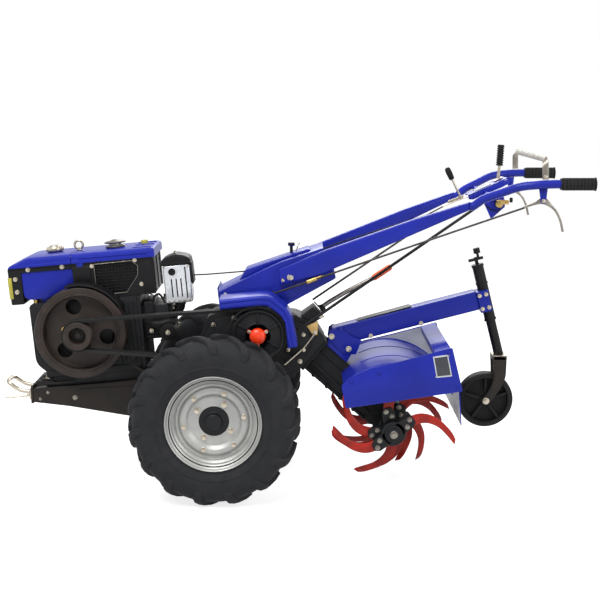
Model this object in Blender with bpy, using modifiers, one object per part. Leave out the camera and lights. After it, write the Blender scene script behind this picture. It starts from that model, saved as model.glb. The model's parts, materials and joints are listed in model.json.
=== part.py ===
# Walking tractor: a two-wheel tractor with a diesel engine in front and a rotary tiller behind.
# Metres, +Z up. The machine travels towards -X and its left side is towards -Y.
# X is measured from the wheel axle and Z from the ground until the last step moves the origin.

import math

import bmesh
import bpy
from mathutils import Matrix, Vector

# Clearances
GAP = 0.0003  # between pieces that touch
RUN_GAP = 0.006  # between a moving piece and its neighbours
PIN_GAP = 0.001  # round shafts, belts and sliding posts

ROUND = 28  # steps round a large turned piece
SHEET = 0.004  # thickness of pressed sheet pieces

# Wheels. RIM_HALF is half the space between the flanges, DISC_OUT the wheel disc's place towards the outside.
TYRE_R = 0.320
TYRE_BEAD_R = 0.156
TYRE_WALL = 0.014
TYRE_WIDTH = 0.165
AXLE_Z = TYRE_R
TRACK = 0.740
RIM_FLANGE_R = 0.178
RIM_HALF = 0.062
FLANGE_THICK = 0.004
DISC_OUT = 0.018
DISC_HALF = 0.003
HUB_R = 0.055
HUB_BACK_R = 0.080
AXLE_TUBE_R = 0.042
AXLE_TUBE_END = 0.208

# Frame. Widths are from the middle of the machine.
CASE_HALF = 0.085
RAIL_TOP_W = -0.213
RAIL_OUT, RAIL_WALL = 0.130, 0.006
RAIL_FRONT_X = -0.716
PLATE_THICK = 0.010
TOW_BAR_R, TOW_PIN_R, TOW_HALF = 0.0085, 0.0035, 0.055

# Engine. U runs rearwards and W upwards from the crankshaft, both pitched with the engine.
CRANK_X, CRANK_Z = -0.516, 0.612
ENGINE_PITCH = 5.0
ENGINE_Y = (-0.115, 0.140)
TANK_Y = (-0.112, 0.130)
COVER_Y = (-0.124, 0.144)
BLOCK_FRONT_U, BLOCK_REAR_U = -0.200, 0.225
BLOCK_LOW_W, BLOCK_TOP_W = -0.185, 0.115
LAMP_U = (-0.267, -0.215)
SPLIT_U = -0.019  # between the tank and the radiator
HOOD_REAR_U = 0.301
LID_LOW_W, LID_TOP_W = 0.257, 0.293
FLYWHEEL_R = 0.174
FLYWHEEL_Y = (-0.200, -0.130)
FLYWHEEL_BORE_R = 0.140  # inside of its heavy rim
WEB_HALF, WEB_IN = 0.006, 0.014  # the disc inside the rim, and how far it lies inboard of the middle
WEB_HOLE_R, WEB_HOLE_RING = 0.030, 0.099
WEB_HOLE_ANGLES = (108, -12, 228)
BELT_Y = (-0.268, -0.212)
DRIVE_PULLEY_R = 0.053

# Clutch, belts and belt guard
CLUTCH_X, CLUTCH_Z = 0.158, 0.613
CLUTCH_R = 0.100
CLUTCH_LUG_RING, CLUTCH_LUG_R = 0.050, 0.011
BELT_THICK = 0.009
BELT_STEPS = 20  # chords along each arc of the belts, enough for them to clear the pulleys
GUARD_FACE_Y, GUARD_BACK_Y = -0.287, -0.160
GUARD_INNER_R = CLUTCH_R + 0.018
GUARD_GROWTH = (CLUTCH_R + 0.050) / 0.150  # the arch is drawn for a pulley of 0.100

# Gearbox and the tiller's drive case, which runs straight from the gearbox to the rotor
BOSS_X, BOSS_Z, BOSS_R, BOSS_OUT = 0.300, 0.557, 0.060, 0.006
LINK_FROM = Vector((0.365, 0.503))
LINK_HALF, LINK_DEPTH = 0.038, 0.060

# Handles
BRACKET_HALF = 0.110
BRACKET_WALL = 0.006
ARM_WIDTH = 0.030
ARM_SPREAD = 0.125  # how much further apart each arm's rear end stands than the bracket
GRIP_X = (1.248, 1.376)
GRIP_Y = 0.360
GRIP_Z = 1.185
GRIP_R = 0.021
TUBE_R = 0.016
LEVER_Y = 0.340
LEVER_R, ROD_R = 0.006, 0.004
EAR_HALF = 0.004
CROSS_X, CROSS_Z = 1.030, 1.128
CROSS_HALF = 0.2655

# Tiller
ROTOR_X, ROTOR_Z = 0.671, 0.232
TILLER_HALF = 0.270
ROTOR_HALF = TILLER_HALF - 0.008
SHAFT_R = 0.025
SEAT_R, SEAT_HALF = 0.048, 0.011
HOOD_R = 0.272
HOOD_ARC = (36, 135)
CONTACT_LEAN = 12  # the two lowest tips stand this many degrees either side of straight down
TIP_HALF = 0.010
# Share of the rotor's half width, direction of the tip in degrees, side that the tip bends to
TINES = (
    (-0.897, 173, -1), (-0.897, 353, -1), (-0.763, 142, 1), (-0.763, 60, 1), (-0.477, 185, -1),
    (-0.477, 20, -1), (-0.267, 234, -1), (0.267, 302, 1), (0.267, 258, 1), (0.477, 345, 1),
    (0.477, 165, 1), (0.763, 100, -1), (0.763, 282, -1), (0.897, 220, 1), (0.897, 40, 1),
)

# Beam and tail wheel
BEAM_START, BEAM_END = Vector((0.450, 0.566)), Vector((1.010, 0.711))
BEAM_HALF_W, BEAM_HALF_H = 0.040, 0.037
COLUMN_TILT = 14.5
COLUMN_FOOT = (1.0665, 0.627)
COLUMN_TOP_Z = 0.850
COLUMN_R = 0.022
POST_R = 0.019
POST_INSIDE = 0.175
CROWN_Z = 0.480
LEG_GAP, LEG_THICK = 0.006, 0.006
TAIL_X, TAIL_Z = 1.050, 0.310
TAIL_R = 0.110
TAIL_WIDTH = 0.060
TAIL_PIN_R = 0.009

for old in list(bpy.data.objects):
    bpy.data.objects.remove(old)

parts = bpy.data.collections.new("walking_tractor")
bpy.context.scene.collection.children.link(parts)
root = bpy.data.objects.new("tractor_origin", None)
parts.objects.link(root)


# Colours as linear RGB, roughness, metallic
FINISHES = {
    "blue_paint": ((0.024, 0.032, 0.28), 0.38, 0.0),
    "black_paint": ((0.017, 0.017, 0.018), 0.45, 0.0),
    "cast_iron": ((0.012, 0.013, 0.013), 0.62, 0.0),
    "frame_paint": ((0.030, 0.024, 0.020), 0.5, 0.0),
    "rubber": ((0.055, 0.056, 0.060), 0.85, 0.0),
    "rim_silver": ((0.48, 0.48, 0.46), 0.4, 0.3),
    "muffler_silver": ((0.66, 0.68, 0.72), 0.4, 0.4),
    "zinc": ((0.60, 0.58, 0.52), 0.35, 1.0),
    "tine_red": ((0.58, 0.045, 0.025), 0.4, 0.0),
    "orange": ((0.90, 0.05, 0.015), 0.4, 0.0),
    "grip_rubber": ((0.02, 0.02, 0.02), 0.8, 0.0),
}


def finish_of(name):
    found = bpy.data.materials.get(name)
    if found:
        return found
    colour, roughness, metallic = FINISHES[name]
    made = bpy.data.materials.new(name)
    made.use_nodes = True
    shader = made.node_tree.nodes["Principled BSDF"]
    shader.inputs["Base Color"].default_value = (*colour, 1)
    shader.inputs["Roughness"].default_value = roughness
    shader.inputs["Metallic"].default_value = metallic
    return made


def scratch(mesh, name="solid"):
    made = bpy.data.objects.new(name, mesh)
    parts.objects.link(made)
    return made


def baked(source):
    # The evaluated shape of an object as a plain mesh in world space, with loose caps welded.
    bpy.context.view_layer.update()
    graph = bpy.context.evaluated_depsgraph_get()
    mesh = bpy.data.meshes.new_from_object(source.evaluated_get(graph))
    mesh.transform(source.matrix_world)
    shape = bmesh.new()
    shape.from_mesh(mesh)
    bmesh.ops.remove_doubles(shape, verts=shape.verts, dist=0.00001)
    shape.to_mesh(mesh)
    shape.free()
    bpy.data.objects.remove(source)
    return scratch(mesh)


def facing_out(solid):
    shape = bmesh.new()
    shape.from_mesh(solid.data)
    bmesh.ops.recalc_face_normals(shape, faces=shape.faces)
    shape.to_mesh(solid.data)
    shape.free()
    return solid


def box(x, y, z):
    shape = bmesh.new()
    bmesh.ops.create_cube(shape, size=1)
    for corner in shape.verts:
        corner.co = Vector(
            (low + (high - low) * (side + 0.5) for (low, high), side in zip((x, y, z), corner.co))
        )
    mesh = bpy.data.meshes.new("box")
    shape.to_mesh(mesh)
    shape.free()
    return scratch(mesh)


def drum(centre, radius, half, axis="Y", sides=24, top=None):
    # A cylinder or cone on a centre, along one world axis.
    shape = bmesh.new()
    bmesh.ops.create_cone(
        shape, cap_ends=True, segments=sides, depth=2 * half,
        radius1=radius, radius2=radius if top is None else top,
    )
    turn = {"X": Matrix.Rotation(math.pi / 2, 4, "Y"), "Y": Matrix.Rotation(-math.pi / 2, 4, "X"),
            "Z": Matrix.Identity(4)}[axis]
    bmesh.ops.transform(shape, matrix=Matrix.Translation(centre) @ turn, verts=shape.verts)
    mesh = bpy.data.meshes.new("drum")
    shape.to_mesh(mesh)
    shape.free()
    return scratch(mesh)


def arcs(points, steps=4):
    # Turns each (a, b, radius) corner into an arc. A corner without a radius stays sharp.
    result = []
    count = len(points)
    for i, point in enumerate(points):
        here = Vector(point[:2])
        if len(point) == 2:
            result.append(here)
            continue
        before = Vector(points[i - 1][:2]) - here
        after = Vector(points[(i + 1) % count][:2]) - here
        half = before.angle(after) / 2
        reach = min(point[2] / math.tan(half), 0.48 * before.length, 0.48 * after.length)
        start, end = here + before.normalized() * reach, here + after.normalized() * reach
        for step in range(steps + 1):
            t = step / steps
            result.append(start * (1 - t) ** 2 + here * 2 * t * (1 - t) + end * t * t)
    return result


def slab(points, low, high, plane="XZ", steps=4):
    # A flat outline, thick from low to high across its plane.
    curve = bpy.data.curves.new("outline", "CURVE")
    curve.dimensions = "2D"
    curve.fill_mode = "BOTH"
    curve.extrude = abs(high - low) / 2
    line = curve.splines.new("POLY")
    spots = arcs(points, steps)
    line.points.add(len(spots) - 1)
    for spot, target in zip(spots, line.points):
        target.co = (spot.x, spot.y, 0, 1)
    line.use_cyclic_u = True
    made = scratch(curve)
    middle = (low + high) / 2
    if plane == "XZ":
        made.matrix_world = Matrix.Translation((0, middle, 0)) @ Matrix.Rotation(math.pi / 2, 4, "X")
    elif plane == "YZ":
        made.matrix_world = Matrix(((0, 0, 1, middle), (1, 0, 0, 0), (0, 1, 0, 0), (0, 0, 0, 1)))
    else:
        made.matrix_world = Matrix.Translation((0, 0, middle))
    return baked(made)


def bar(points, radius, sides=2):
    # A round bar or tube through its points, closed at both ends.
    curve = bpy.data.curves.new("bar", "CURVE")
    curve.dimensions = "3D"
    curve.bevel_depth = radius
    curve.bevel_resolution = sides
    curve.use_fill_caps = True
    line = curve.splines.new("POLY")
    line.points.add(len(points) - 1)
    for spot, target in zip(points, line.points):
        target.co = (*spot, 1)
    return baked(scratch(curve))


def turned(profile, centre, axis="Y", steps=32):
    # A solid of revolution: (radius, along) pairs that run from +along to -along on the outer side.
    mesh = bpy.data.meshes.new("profile")
    spots = [(radius, 0, along) for radius, along in profile]
    closed = profile[0][0] > 0.0001
    edges = [(i, i + 1) for i in range(len(spots) - 1)]
    if closed:
        edges.append((len(spots) - 1, 0))
    mesh.from_pydata(spots, edges, [])
    made = scratch(mesh)
    screw = made.modifiers.new("turn", "SCREW")
    screw.steps = screw.render_steps = steps
    screw.use_merge_vertices = True
    screw.merge_threshold = 0.00005
    turn = Matrix.Rotation(-math.pi / 2, 4, "X") if axis == "Y" else Matrix.Identity(4)
    made.matrix_world = Matrix.Translation(centre) @ turn
    return facing_out(baked(made))


def loft(sections):
    # A closed skin through four-cornered sections, given in order along the piece.
    shape = bmesh.new()
    rings = [[shape.verts.new(spot) for spot in section] for section in sections]
    for first, second in zip(rings, rings[1:]):
        for i in range(4):
            j = (i + 1) % 4
            shape.faces.new((first[i], first[j], second[j], second[i]))
    shape.faces.new(rings[0][::-1])
    shape.faces.new(rings[-1])
    bmesh.ops.recalc_face_normals(shape, faces=shape.faces)
    mesh = bpy.data.meshes.new("loft")
    shape.to_mesh(mesh)
    shape.free()
    return scratch(mesh)


def combined(base, others, operation):
    for other in others:
        step = base.modifiers.new("step", "BOOLEAN")
        step.operation = operation
        step.solver = "EXACT"
        step.object = other
        base = baked(base)
        bpy.data.objects.remove(other)
    return base


def joined(*solids):
    return combined(solids[0], solids[1:], "UNION")


def cut(base, *cutters):
    return combined(base, cutters, "DIFFERENCE")


def placed(solid, matrix):
    solid.data.transform(matrix)
    return solid


def keep(name, solid, finish, pivot=None, parent=None):
    # Names the solid as a sub-part. A moving piece gets its origin on its pivot.
    solid.name = name
    solid.data.name = name
    solid.data.materials.clear()
    solid.data.materials.append(finish_of(finish))
    if pivot is not None:
        solid.data.transform(Matrix.Translation(-Vector(pivot)))
        solid.location = pivot
    solid.data.shade_smooth()
    solid.data.set_sharp_from_angle(angle=math.radians(35))
    solid.parent = parent or root
    return solid


engine = Matrix.Translation((CRANK_X, 0, CRANK_Z)) @ Matrix.Rotation(math.radians(-ENGINE_PITCH), 4, "Y")


def on_engine(u, w):
    # World X and Z of a point given along and above the crankshaft's level.
    spot = engine @ Vector((u, 0, w))
    return spot.x, spot.z


def wheels():
    # Profiles are (radius, towards the outside of the wheel).
    shoulder = TYRE_WIDTH / 2
    wall_foot = RIM_FLANGE_R + 0.006
    wall_middle = (wall_foot + TYRE_R - 0.080) / 2
    half_tyre = [
        (TYRE_R, 0.035), (TYRE_R - 0.006, 0.060), (TYRE_R - 0.020, 0.074), (TYRE_R - 0.045, 0.080),
        (TYRE_R - 0.080, shoulder), (wall_middle, 0.078), (wall_foot, 0.070),
        (RIM_FLANGE_R + 0.002, RIM_HALF), (TYRE_BEAD_R + 0.002, RIM_HALF - 0.002), (TYRE_BEAD_R, 0.050),
    ]
    half_air = [(TYRE_BEAD_R, 0.036), (wall_middle + 0.023, shoulder - TYRE_WALL), (TYRE_R - 0.028, 0.045)]
    tyre_ring = half_tyre[::-1] + [(r, -along) for r, along in half_tyre]
    tyre_ring += [(r, -along) for r, along in half_air] + half_air[::-1]
    seat = TYRE_BEAD_R - GAP
    barrel = seat - 0.004
    flange_in = RIM_HALF + 0.001
    flange_out = flange_in + FLANGE_THICK
    disc_in, disc_out = DISC_OUT - DISC_HALF, DISC_OUT + DISC_HALF
    rim_ring = [
        (RIM_FLANGE_R, flange_out), (RIM_FLANGE_R, flange_in), (seat, flange_in), (seat, -flange_in),
        (RIM_FLANGE_R, -flange_in), (RIM_FLANGE_R, -flange_out), (barrel, -flange_out), (barrel, disc_in),
        (HUB_R + GAP, disc_in), (HUB_R + GAP, disc_out), (barrel, disc_out), (barrel, flange_out),
    ]
    inner_end = AXLE_TUBE_END + RUN_GAP - TRACK / 2
    hub_line = [
        (0, 0.048), (0.027, 0.048), (0.031, 0.044), (0.033, disc_out + 0.003), (HUB_R, disc_out + 0.001),
        (HUB_R, disc_in - GAP), (HUB_BACK_R, disc_in - GAP), (HUB_BACK_R, disc_in - 0.012),
        (0.050, disc_in - 0.017), (0.046, inner_end), (0, inner_end),
    ]
    lines = {"tyre": (tyre_ring, "rubber"), "rim": (rim_ring, "rim_silver"),
             "axle_hub": (hub_line, "black_paint")}
    for side, word in ((-1, "left"), (1, "right")):
        centre = Vector((0, side * TRACK / 2, AXLE_Z))
        face = Matrix.Translation(centre) @ Matrix.Rotation(0 if side > 0 else math.pi, 4, "Z")
        for name, (line, finish) in lines.items():
            keep(name + "_" + word, placed(turned(line, (0, 0, 0), steps=ROUND), face), finish, centre)


def frame():
    top_front, top_rear = on_engine(-0.225, RAIL_TOP_W), on_engine(0.455, RAIL_TOP_W)
    bottom = [(-0.062, 0.232), (-0.364, 0.275), (-0.578, 0.311), (RAIL_FRONT_X, 0.327)]
    outline = [(RAIL_FRONT_X, top_front[1]), top_rear, *bottom]
    under = RAIL_TOP_W - RAIL_WALL
    low_front, low_rear = on_engine(-0.30, under), on_engine(0.60, under)
    inside = [low_front, low_rear, (0.10, 0.215)] + [(x, z + RAIL_WALL) for x, z in bottom[1:]]
    inside.append((-0.80, bottom[-1][1] + RAIL_WALL))
    for side, word in ((-1, "left"), (1, "right")):
        near, far = side * (CASE_HALF + GAP), side * RAIL_OUT
        rail = slab(outline, near, far)
        hollow = slab(inside, side * (CASE_HALF - 0.01), side * (RAIL_OUT - RAIL_WALL))
        keep("frame_rail_" + word, cut(rail, hollow), "frame_paint")
    plate_x = RAIL_FRONT_X - GAP
    plate = box((plate_x - PLATE_THICK, plate_x), (-RAIL_OUT, RAIL_OUT), (0.322, 0.390))
    keep("frame_front_plate", plate, "frame_paint")
    foot_x = plate_x - PLATE_THICK - GAP
    foot = box((foot_x - 0.008, foot_x), (-TOW_HALF - 0.023, TOW_HALF + 0.023), (0.324, 0.368))
    inside_foot = foot_x - 0.004
    half_loop = [(inside_foot, TOW_HALF, 0.350), (-0.787, TOW_HALF, 0.358), (-0.822, TOW_HALF, 0.385),
                 (-0.834, TOW_HALF - 0.015, 0.391)]
    loop = bar([(x, -y, z) for x, y, z in half_loop] + half_loop[::-1], TOW_BAR_R)
    pin = bar([(inside_foot, 0.005 - TOW_HALF, 0.334), (-0.846, 0.005 - TOW_HALF, 0.326)], TOW_PIN_R)
    keep("tow_loop", joined(foot, loop, pin), "zinc")


def inset(sides):
    return sides[0] + SHEET, sides[1] - SHEET


def engine_slab(points, y, steps=4):
    return placed(slab(points, *y, steps=steps), engine)


def engine_box(u, y, w):
    return placed(box(u, y, w), engine)


def engine_unit():
    top, split = BLOCK_TOP_W, SPLIT_U
    front, rear = BLOCK_FRONT_U, BLOCK_REAR_U
    body = engine_slab([(front, -0.120, 0.06), (front, top, 0.02), (rear, top), (rear, BLOCK_LOW_W, 0.03),
                        (-0.130, BLOCK_LOW_W, 0.04)], ENGINE_Y)
    crank = placed(drum((0, ENGINE_Y[0], 0), 0.045, 0.009), engine)
    feet_u, feet_w = (front + 0.030, rear - 0.020), (RAIL_TOP_W + GAP, BLOCK_LOW_W + 0.005)
    feet = [engine_box(feet_u, sides, feet_w) for sides in ((-0.115, -0.076), (0.076, 0.115))]
    keep("engine_block", joined(body, crank, *feet), "cast_iron")
    keep("cylinder_head", engine_box((rear + GAP, 0.330), (-0.090, 0.100), (-0.065, 0.0665)), "cast_iron")

    lamp, tank = LAMP_U
    clear = FLYWHEEL_R + RUN_GAP
    low, high = top + GAP, LID_LOW_W - GAP
    tank_low = low + 0.015
    tank_shell = engine_slab([(tank, tank_low, 0.03), (tank, high), (split, high), (split, clear),
                              (-0.127, tank_low)], TANK_Y)
    seat = engine_box((-0.150, -0.030), (-0.100, 0.120), (low, tank_low + 0.060))
    pocket = engine_slab([(tank + SHEET, tank_low + SHEET, 0.026), (tank + SHEET, LID_TOP_W),
                          (split - SHEET, LID_TOP_W), (split - SHEET, clear + SHEET),
                          (-0.128, tank_low + SHEET)], inset(TANK_Y))
    keep("fuel_tank", cut(joined(tank_shell, seat), pocket), "blue_paint")
    lamp_shell = engine_slab([(lamp, low, 0.01), (lamp, high, 0.01), (tank - GAP, high),
                              (tank - GAP, low, 0.01)], TANK_Y)
    lamp_room = engine_box((lamp + SHEET, tank - SHEET), inset(TANK_Y), (top + SHEET, LID_TOP_W))
    keep("headlamp", cut(lamp_shell, lamp_room), "black_paint")
    core_end = HOOD_REAR_U - 0.008
    panel = engine_box((split + GAP, core_end), ENGINE_Y, (low, high))
    core_room = engine_box((split + SHEET, core_end - SHEET), inset(ENGINE_Y), (top + SHEET, LID_TOP_W))
    keep("radiator", cut(panel, core_room), "black_paint")

    lid = engine_slab([(-0.262, LID_LOW_W), (-0.253, 0.266, 0.01), (-0.187, LID_TOP_W, 0.02),
                       (split, LID_TOP_W), (split, LID_LOW_W)], COVER_Y)
    under_low, under_top = LID_LOW_W - SHEET, LID_TOP_W - SHEET
    lid_room = engine_slab([(-0.240, under_low), (-0.240, 0.264), (-0.186, under_top),
                            (split - SHEET, under_top), (split - SHEET, under_low)], inset(COVER_Y))
    keep("tank_cover", cut(lid, lid_room), "blue_paint")
    hood_front = split + 2 * GAP
    hood = engine_slab([(hood_front, LID_LOW_W), (hood_front, LID_TOP_W), (HOOD_REAR_U, LID_TOP_W, 0.02),
                        (HOOD_REAR_U, LID_LOW_W)], COVER_Y)
    room_u = (split + 2 * SHEET, HOOD_REAR_U - 2 * SHEET)
    hood_room = engine_box(room_u, inset(COVER_Y), (under_low, under_top))
    keep("radiator_hood", cut(hood, hood_room), "blue_paint")

    on_lid = LID_TOP_W + GAP
    keep("fuel_cap", placed(drum((-0.105, 0.030, on_lid + 0.013), 0.033, 0.013, "Z", 24), engine), "zinc")
    filler = placed(drum((0.1375, 0, on_lid + 0.016), 0.038, 0.016, "Z", 24, 0.032), engine)
    keep("radiator_cap", filler, "black_paint")
    eye_r, wire_r = 0.016, 0.005
    turns = [math.radians(-45 * i) for i in range(8)]
    wire = [(eye_r + wire_r * math.cos(a), wire_r * math.sin(a)) for a in turns]
    stem = box((-0.013, 0.005), (-0.009, 0.009), (on_lid, on_lid + 0.008))
    eye = joined(stem, turned(wire, (-0.004, 0, on_lid + 0.023), steps=16))
    keep("lifting_eye", placed(eye, engine), "zinc")

    shell = engine_slab([(0.323, 0.067, 0.01), (0.323, 0.2165, 0.01), (0.428, 0.2165, 0.01),
                         (0.428, 0.067, 0.01)], (-0.100, -0.010))
    shade = engine_slab([(0.327, 0.210), (0.330, 0.240, 0.01), (0.378, 0.258, 0.03), (0.424, 0.240, 0.01),
                         (0.424, 0.210)], (-0.096, -0.014))
    outlet = placed(drum((0.374, -0.055, 0.055), 0.021, 0.018, "Z", 16), engine)
    keep("muffler", joined(shell, shade, outlet), "muffler_silver")
    keep("air_cleaner", drum((-0.188, -0.1235, 0.608), 0.033, 0.040, "Z", 20), "black_paint")


def flywheel():
    # The outer side is towards -Y, so the profile is turned round at the end.
    middle = sum(FLYWHEEL_Y) / 2
    rim = (FLYWHEEL_Y[1] - FLYWHEEL_Y[0]) / 2
    belt_out, belt_in = middle - BELT_Y[0], middle - BELT_Y[1]
    web_out, web_in = WEB_HALF - WEB_IN, -WEB_HALF - WEB_IN
    line = [
        (0, belt_out), (DRIVE_PULLEY_R, belt_out), (DRIVE_PULLEY_R, belt_in - 0.004),
        (0.040, belt_in - 0.008), (0.040, web_out), (FLYWHEEL_BORE_R, web_out), (FLYWHEEL_BORE_R, rim),
        (FLYWHEEL_R, rim), (FLYWHEEL_R, -rim), (FLYWHEEL_BORE_R, -rim), (FLYWHEEL_BORE_R, web_in),
        (0.050, web_in), (0.050, -rim), (0, -rim),
    ]
    wheel = turned(line, (0, 0, 0), steps=ROUND)
    holes = []
    for degrees in WEB_HOLE_ANGLES:
        a = math.radians(degrees)
        spot = (-WEB_HOLE_RING * math.cos(a), -WEB_IN, WEB_HOLE_RING * math.sin(a))
        holes.append(drum(spot, WEB_HOLE_R, 0.02, sides=16))
    wheel = cut(wheel, *holes)
    centre = Vector((CRANK_X, middle, CRANK_Z))
    wheel = placed(wheel, Matrix.Translation(centre) @ Matrix.Rotation(math.pi, 4, "Z"))
    keep("flywheel", wheel, "frame_paint", centre)


def belt_loop(first, second, y):
    # A flat band round two circles, each given as (x, z, radius): the outline of the open-belt tangents.
    (x1, z1, r1), (x2, z2, r2) = first, second
    span = math.hypot(x2 - x1, z2 - z1)
    lean = math.atan2(z2 - z1, x2 - x1)
    spread = math.acos((r1 - r2) / span)
    spots = []
    for (x, z, r), start, end in ((first, lean + spread, lean + 2 * math.pi - spread),
                                  (second, lean - spread, lean + spread)):
        for step in range(BELT_STEPS + 1):
            a = start + (end - start) * step / BELT_STEPS
            spots.append((x + r * math.cos(a), z + r * math.sin(a)))
    return slab(spots, *y)


def belts():
    inner = (CRANK_X, CRANK_Z, DRIVE_PULLEY_R + PIN_GAP), (CLUTCH_X, CLUTCH_Z, CLUTCH_R + PIN_GAP)
    outer = tuple((x, z, r + BELT_THICK) for x, z, r in inner)
    y_low, y_high = BELT_Y[0] + 0.004, BELT_Y[1] - 0.004
    band = belt_loop(*outer, (y_low, y_high))
    hollow = belt_loop(*inner, (y_low - 0.01, y_high + 0.01))
    keep("drive_belt", cut(band, hollow), "rubber")


def clutch_pulley():
    middle = sum(BELT_Y) / 2
    half = (BELT_Y[1] - BELT_Y[0]) / 2
    inner_end = -(CASE_HALF + 0.010) - middle
    line = [
        (0, 0.044), (0.030, 0.044), (0.046, 0.036), (0.046, half), (0.062, half), (0.062, 0.018),
        (CLUTCH_R - 0.012, 0.018), (CLUTCH_R - 0.012, half), (CLUTCH_R, half), (CLUTCH_R, -half),
        (0.050, -half), (0.030, -half - 0.012), (0.030, -inner_end), (0, -inner_end),
    ]
    centre = Vector((CLUTCH_X, middle, CLUTCH_Z))
    pulley = turned(line, (0, 0, 0), steps=ROUND)
    for degrees in (90, 210, 330):
        a = math.radians(degrees)
        spot = (CLUTCH_LUG_RING * math.cos(a), half + 0.006, CLUTCH_LUG_RING * math.sin(a))
        pulley = joined(pulley, drum(spot, CLUTCH_LUG_R, 0.009, sides=10))
    pulley = placed(pulley, Matrix.Translation(centre) @ Matrix.Rotation(math.pi, 4, "Z"))
    keep("clutch_pulley", pulley, "orange", centre)


def belt_guard():
    arch = ((0.010, 0.154), (0.049, 0.153, 0.03), (0.105, 0.109, 0.03), (0.125, 0.077, 0.02), (0.147, -0.035))
    outer = [(0.016, 0.751), (0.108, 0.761)]
    outer += [(CLUTCH_X + x * GUARD_GROWTH, CLUTCH_Z + z * GUARD_GROWTH, *corner) for x, z, *corner in arch]
    around = []
    for step in range(9):
        a = math.radians(-16 + 106 * step / 8)
        around.append((CLUTCH_X + GUARD_INNER_R * math.cos(a), CLUTCH_Z + GUARD_INNER_R * math.sin(a)))
    face = slab(outer + around + [(0.019, 0.700)], GUARD_FACE_Y, GUARD_FACE_Y + SHEET)
    rim_outer = arcs(outer)
    inside = [(x - SHEET, z - SHEET) for x, z in rim_outer[::-1]]
    inside[-1] = (inside[-1][0] + SHEET, inside[-1][1])
    rim = slab([tuple(spot) for spot in rim_outer] + inside, GUARD_FACE_Y + SHEET / 2, GUARD_BACK_Y)
    tab = box((0.020, 0.062), (GUARD_BACK_Y - 0.010, -BRACKET_HALF - GAP), (0.742, 0.750))
    keep("belt_guard", joined(face, rim, tab), "blue_paint")


def tiller_line():
    # Direction of the tiller drive case, and the direction square to it, in X and Z.
    along = (Vector((ROTOR_X, ROTOR_Z)) - LINK_FROM).normalized()
    return along, Vector((-along.y, along.x))


def link_outline(start, length, half):
    along, across = tiller_line()
    first = LINK_FROM + along * start
    last = first + along * length
    return [first - across * half, last - across * half, last + across * half, first + across * half]


def gearbox():
    along, across = tiller_line()
    high, low = LINK_FROM + across * 0.075, LINK_FROM - across * 0.075
    outline = [(-0.130, 0.250, 0.03), (0.020, 0.215, 0.03), (0.100, 0.240, 0.03), tuple(low), tuple(high),
               (0.372, 0.630, 0.02), (0.300, 0.660, 0.02), (0.060, 0.690, 0.02), (-0.040, 0.660, 0.04),
               (-0.100, 0.500, 0.05), (-0.150, 0.430, 0.03)]
    case = slab(outline, -CASE_HALF, CASE_HALF)
    boss = drum((BOSS_X, 0, BOSS_Z), BOSS_R, CASE_HALF + BOSS_OUT)
    shafts = drum((0, 0, AXLE_Z), AXLE_TUBE_R, AXLE_TUBE_END, sides=20)
    selector = slab([(0.300, 0.640), (0.338, 0.613), (0.405, 0.647), (0.368, 0.688)], -0.060, 0.060)
    keep("gearbox_case", joined(case, boss, shafts, selector), "cast_iron")

    reach = (Vector((ROTOR_X, ROTOR_Z)) - LINK_FROM).length
    link = slab([tuple(p) for p in link_outline(GAP, reach, LINK_DEPTH)], -LINK_HALF, LINK_HALF)
    end = drum((ROTOR_X, 0, ROTOR_Z), 0.072, LINK_HALF, sides=24)
    bore = drum((ROTOR_X, 0, ROTOR_Z), SHAFT_R + PIN_GAP, LINK_HALF + 0.01, sides=24)
    keep("tiller_case", cut(joined(link, end), bore), "cast_iron")


def beam_outline(grow, start, end):
    along = (BEAM_END - BEAM_START).normalized()
    up = Vector((-along.y, along.x)) * (BEAM_HALF_H + grow)
    first, last = BEAM_START + along * start, BEAM_END + along * end
    return [tuple(first - up), tuple(last - up), tuple(last + up), tuple(first + up)]


def tiller_frame():
    keep("tail_beam", slab(beam_outline(0, 0, 0), -BEAM_HALF_W, BEAM_HALF_W), "black_paint")
    along, across = tiller_line()
    foot = LINK_FROM + across * (LINK_DEPTH + GAP)
    outline = [foot + along * 0.014, foot + along * 0.125, foot + along * 0.103 + across * 0.092,
               foot + along * 0.014 + across * 0.090]
    block = slab([tuple(p) for p in outline], -0.050, 0.050)
    channel = slab(beam_outline(GAP, -0.10, 0), -BEAM_HALF_W - GAP, BEAM_HALF_W + GAP)
    keep("tiller_bracket", cut(block, channel), "black_paint")


def arc(radius, start, end, steps):
    spots = []
    for step in range(steps + 1):
        a = math.radians(start + (end - start) * step / steps)
        spots.append((ROTOR_X + radius * math.cos(a), ROTOR_Z + radius * math.sin(a)))
    return spots


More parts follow.
